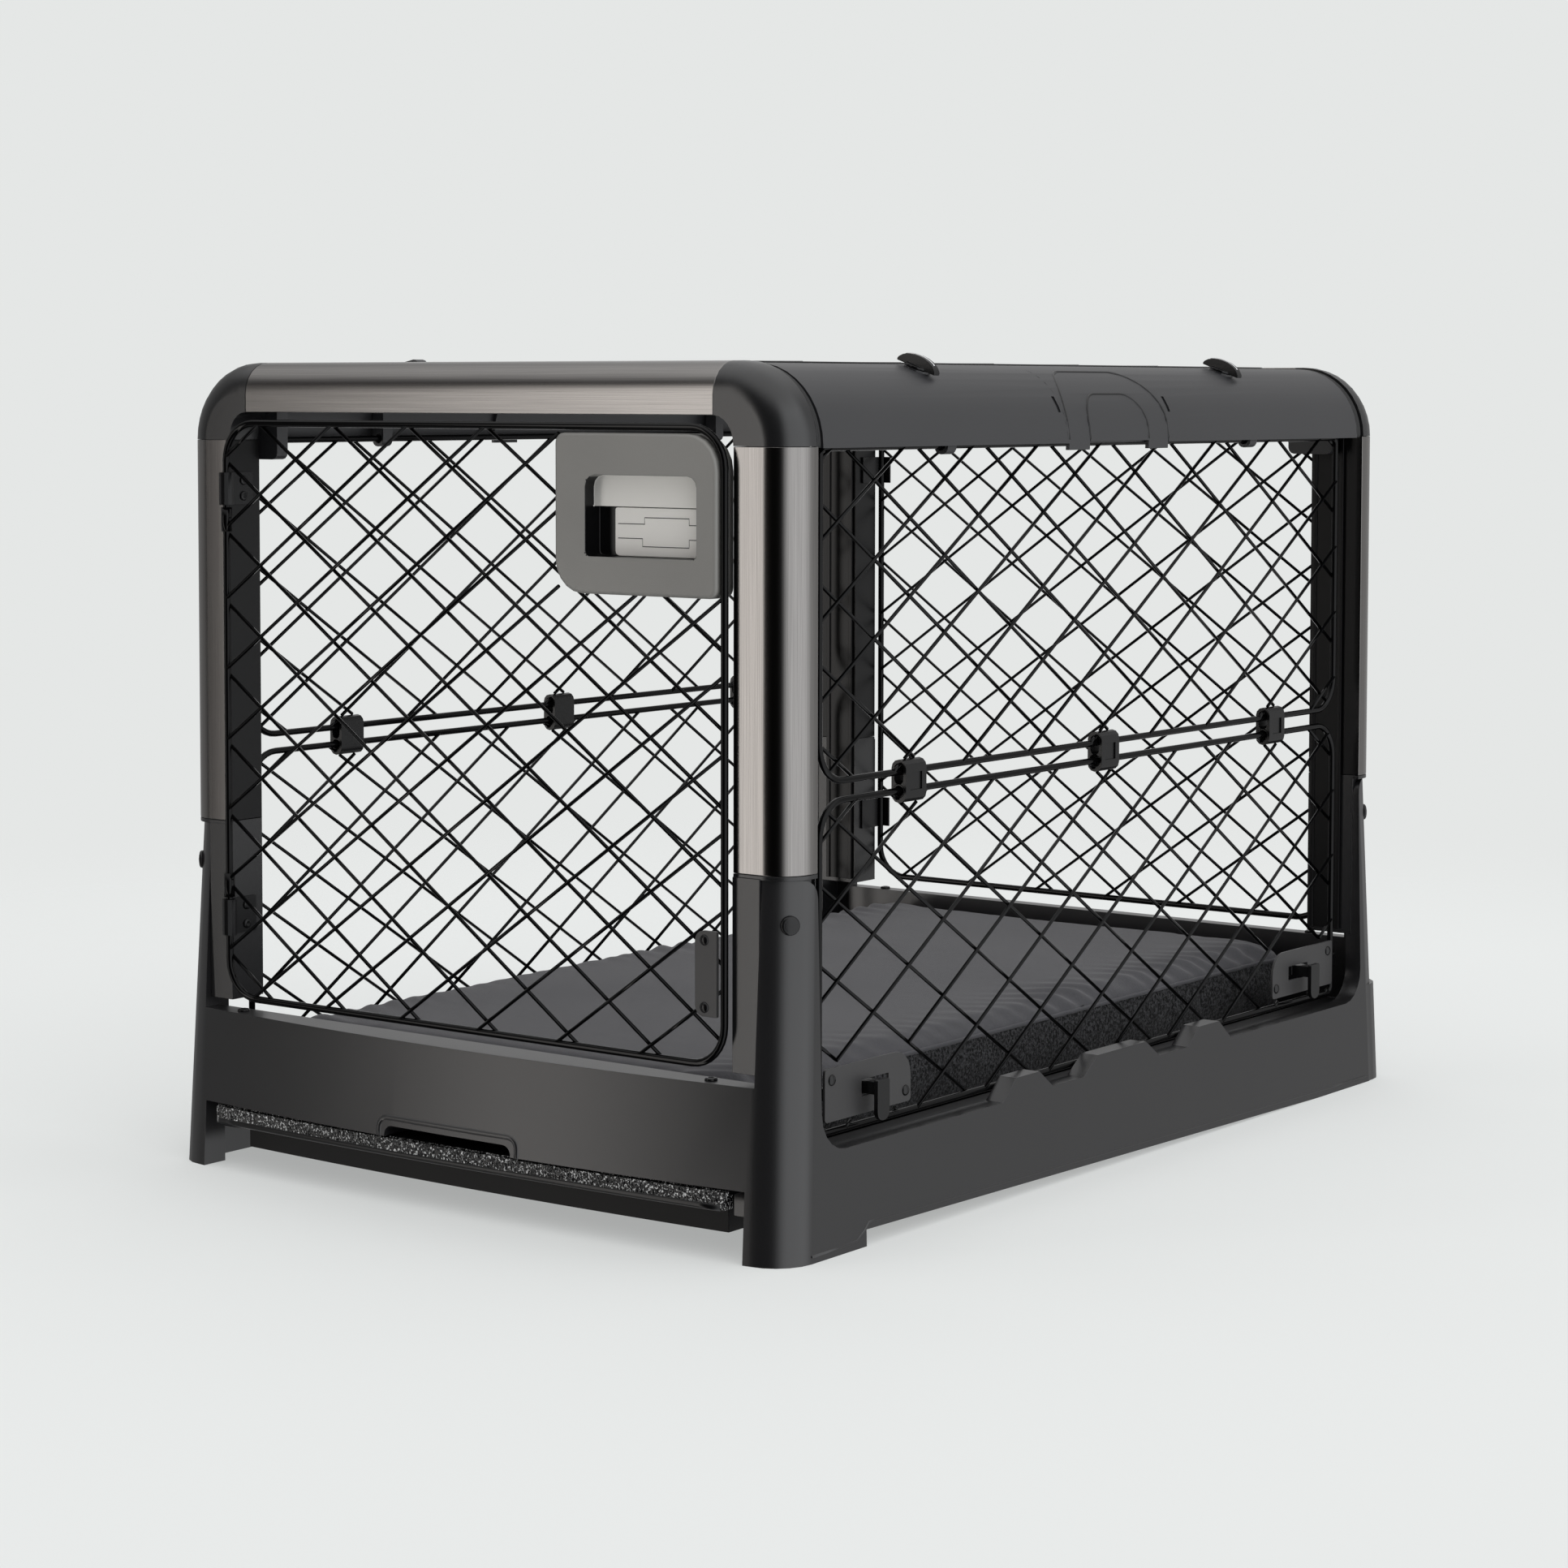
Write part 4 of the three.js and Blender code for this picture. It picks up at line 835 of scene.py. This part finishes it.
def puffed(obj, cap):
    """Fills the cushion with a short cloth simulation and caps how far each point moves."""
    before = [v.co.copy() for v in obj.data.vertices]
    cloth = obj.modifiers.new("cloth", "CLOTH")
    cloth.settings.use_pressure = True
    cloth.settings.uniform_pressure_force = 4
    cloth.settings.effector_weights.gravity = 0
    cloth.settings.quality = 4
    for step in range(1, CLOTH_STEPS + 1):
        scene.frame_set(step)
    settled = obj.evaluated_get(bpy.context.evaluated_depsgraph_get()).to_mesh()
    after = [v.co.copy() for v in settled.vertices]
    obj.modifiers.remove(cloth)
    scene.frame_set(1)
    for vertex, old, new in zip(obj.data.vertices, before, after):
        move = new - old
        if move.length > cap:
            move *= cap / move.length
        vertex.co = old + move


def wrinkle(co):
    """Height of the wrinkles at a point of the cushion: scallops along the long edges, and soft dimples."""
    x, y = co.x / MM, co.y / MM
    inward = max(MAT_HALF[0] - abs(x), 0)
    drift = DRIFT * noise.noise(Vector((x / DRIFT_SIZE[0], y / DRIFT_SIZE[1], 9.1)))
    phase = (y + drift + WRINKLE_LEAN * inward) / WRINKLE_LENGTH
    patch = max(0.0, noise.noise(Vector((0.4, y / PATCH_SIZE, 3.7))) + PATCH_SHARE)
    fade = math.exp(-((inward - WRINKLE_BAND) / WRINKLE_WIDTH) ** 2)
    scallop = math.sin(phase) * fade * patch
    soft = noise.noise(Vector((x / DIMPLE_SIZE, y / DIMPLE_SIZE, 0.3)))
    return WRINKLE_HEIGHT * scallop + DIMPLE_HEIGHT * soft


def creased(obj):
    """Adds the wrinkles to the top, where they fade out down the sides, and dents to the sides."""
    for vertex in obj.data.vertices:
        co = vertex.co
        share = max(0.0, min(1.0, (co.z - WRINKLE_START) / WRINKLE_RISE))
        co.z += wrinkle(co) * MM * share
        if DENT_LOW < co.z < DENT_HIGH:
            dent = DENT_DEPTH * noise.noise(Vector([c * rate for c, rate in zip(co, DENT_RATE)]))
            co.x += math.copysign(dent * MM, co.x) if abs(co.x) > SIDE_START[0] else 0
            co.y += math.copysign(dent * MM, co.y) if abs(co.y) > SIDE_START[1] else 0
        co.z = max(co.z, MAT_Z[0] * MM + UNDER_GAP)


def flattened(obj):
    """Gives the object a mesh of its own."""
    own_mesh(obj)


def piping(cushion):
    """Round piping along the seam, laid on the cushion by casting rays at it from outside."""
    verts, faces = [v.co for v in cushion.data.vertices], [f.vertices for f in cushion.data.polygons]
    surface = BVHTree.FromPolygons(verts, faces)
    half_x, half_y = MAT_HALF[0] - MAT_CORNER, MAT_HALF[1] - MAT_CORNER
    outline = rounded((-MAT_HALF[0], MAT_HALF[0], -MAT_HALF[1], MAT_HALF[1]), (MAT_CORNER,) * 4, steps=6)
    dense = []
    for (a0, b0), (a1, b1) in zip(outline, outline[1:] + outline[:1]):
        count = max(1, round(math.dist((a0, b0), (a1, b1)) / PIPING_STEP))
        dense += [(a0 + (a1 - a0) * i / count, b0 + (b1 - b0) * i / count) for i in range(count)]
    route = []
    for a, b in dense:
        target = Vector((max(-half_x, min(half_x, a)), max(-half_y, min(half_y, b)), SEAM_LEVEL)) * MM
        start = target + (Vector((a, b, SEAM_LEVEL)) * MM - target) * 2
        hit = surface.ray_cast(start, (target - start).normalized())[0]
        if hit:
            route.append(tuple(c / MM for c in hit))
    pipe = line_piece("mat_piping", [route], CLOTH_TOP, MAT_BODY, "fabric", PIPING_RADIUS, closed=True)
    flattened(pipe)


def mat():
    obj = mat_shape()
    remeshed(obj, MAT_VOXEL * MM)
    puffed(obj, SWELL_CAP * MM)
    creased(obj)
    refine = obj.modifiers.new("refine", "SUBSURF")
    refine.levels = 1
    refine.render_levels = 1
    obj.data.materials.append(CLOTH_TOP)
    obj.data.materials.append(CLOTH_SIDE)
    for face in obj.data.polygons:
        face.use_smooth = True
        face.material_index = 1 if face.center.z < SEAM_LEVEL * MM else 0
    piping(obj)
    finish_piece(obj, MAT_BODY, "fabric", "mat")
    flattened(obj)


mat()

# ---- floor ----
FLOOR_COLOUR = (0.47, 0.48, 0.476)
FLOOR_GLOW = (0.385, 0.393, 0.389, 1)
# Distances from the middle where the paper starts to fade and where it is gone.
FLOOR_REACH = (1.0, 2.3)


def studio_floor():
    """A round sheet of pale paper that fades out before its edge."""
    bpy.ops.mesh.primitive_circle_add(vertices=96, radius=FLOOR_REACH[1] * 1.05, fill_type="NGON")
    floor = bpy.context.object
    floor.name = "floor"
    material, tree, surface = start_material("floor_paper", FLOOR_COLOUR, roughness=1.0, specular=0.0)
    surface.inputs["Emission Color"].default_value = FLOOR_GLOW
    surface.inputs["Emission Strength"].default_value = 1.0
    where = place_of(tree)
    paper = add(tree, "ShaderNodeTexNoise", {"Vector": where, "Scale": 2}).outputs["Fac"]
    mottled(tree, surface, paper, FLOOR_COLOUR, spread=0.002)
    distance = add(tree, "ShaderNodeVectorMath", {0: where}, operation="LENGTH").outputs["Value"]
    reach = {"Value": distance, "From Min": FLOOR_REACH[0], "From Max": FLOOR_REACH[1]}
    fade = add(tree, "ShaderNodeMapRange", reach, interpolation_type="SMOOTHSTEP").outputs["Result"]
    clear = add(tree, "ShaderNodeBsdfTransparent")
    mixed = add(tree, "ShaderNodeMixShader", {0: fade, 1: surface.outputs[0], 2: clear.outputs[0]})
    tree.links.new(mixed.outputs[0], tree.nodes["Material Output"].inputs["Surface"])
    floor.data.materials.append(material)
    floor.visible_glossy = False


studio_floor()
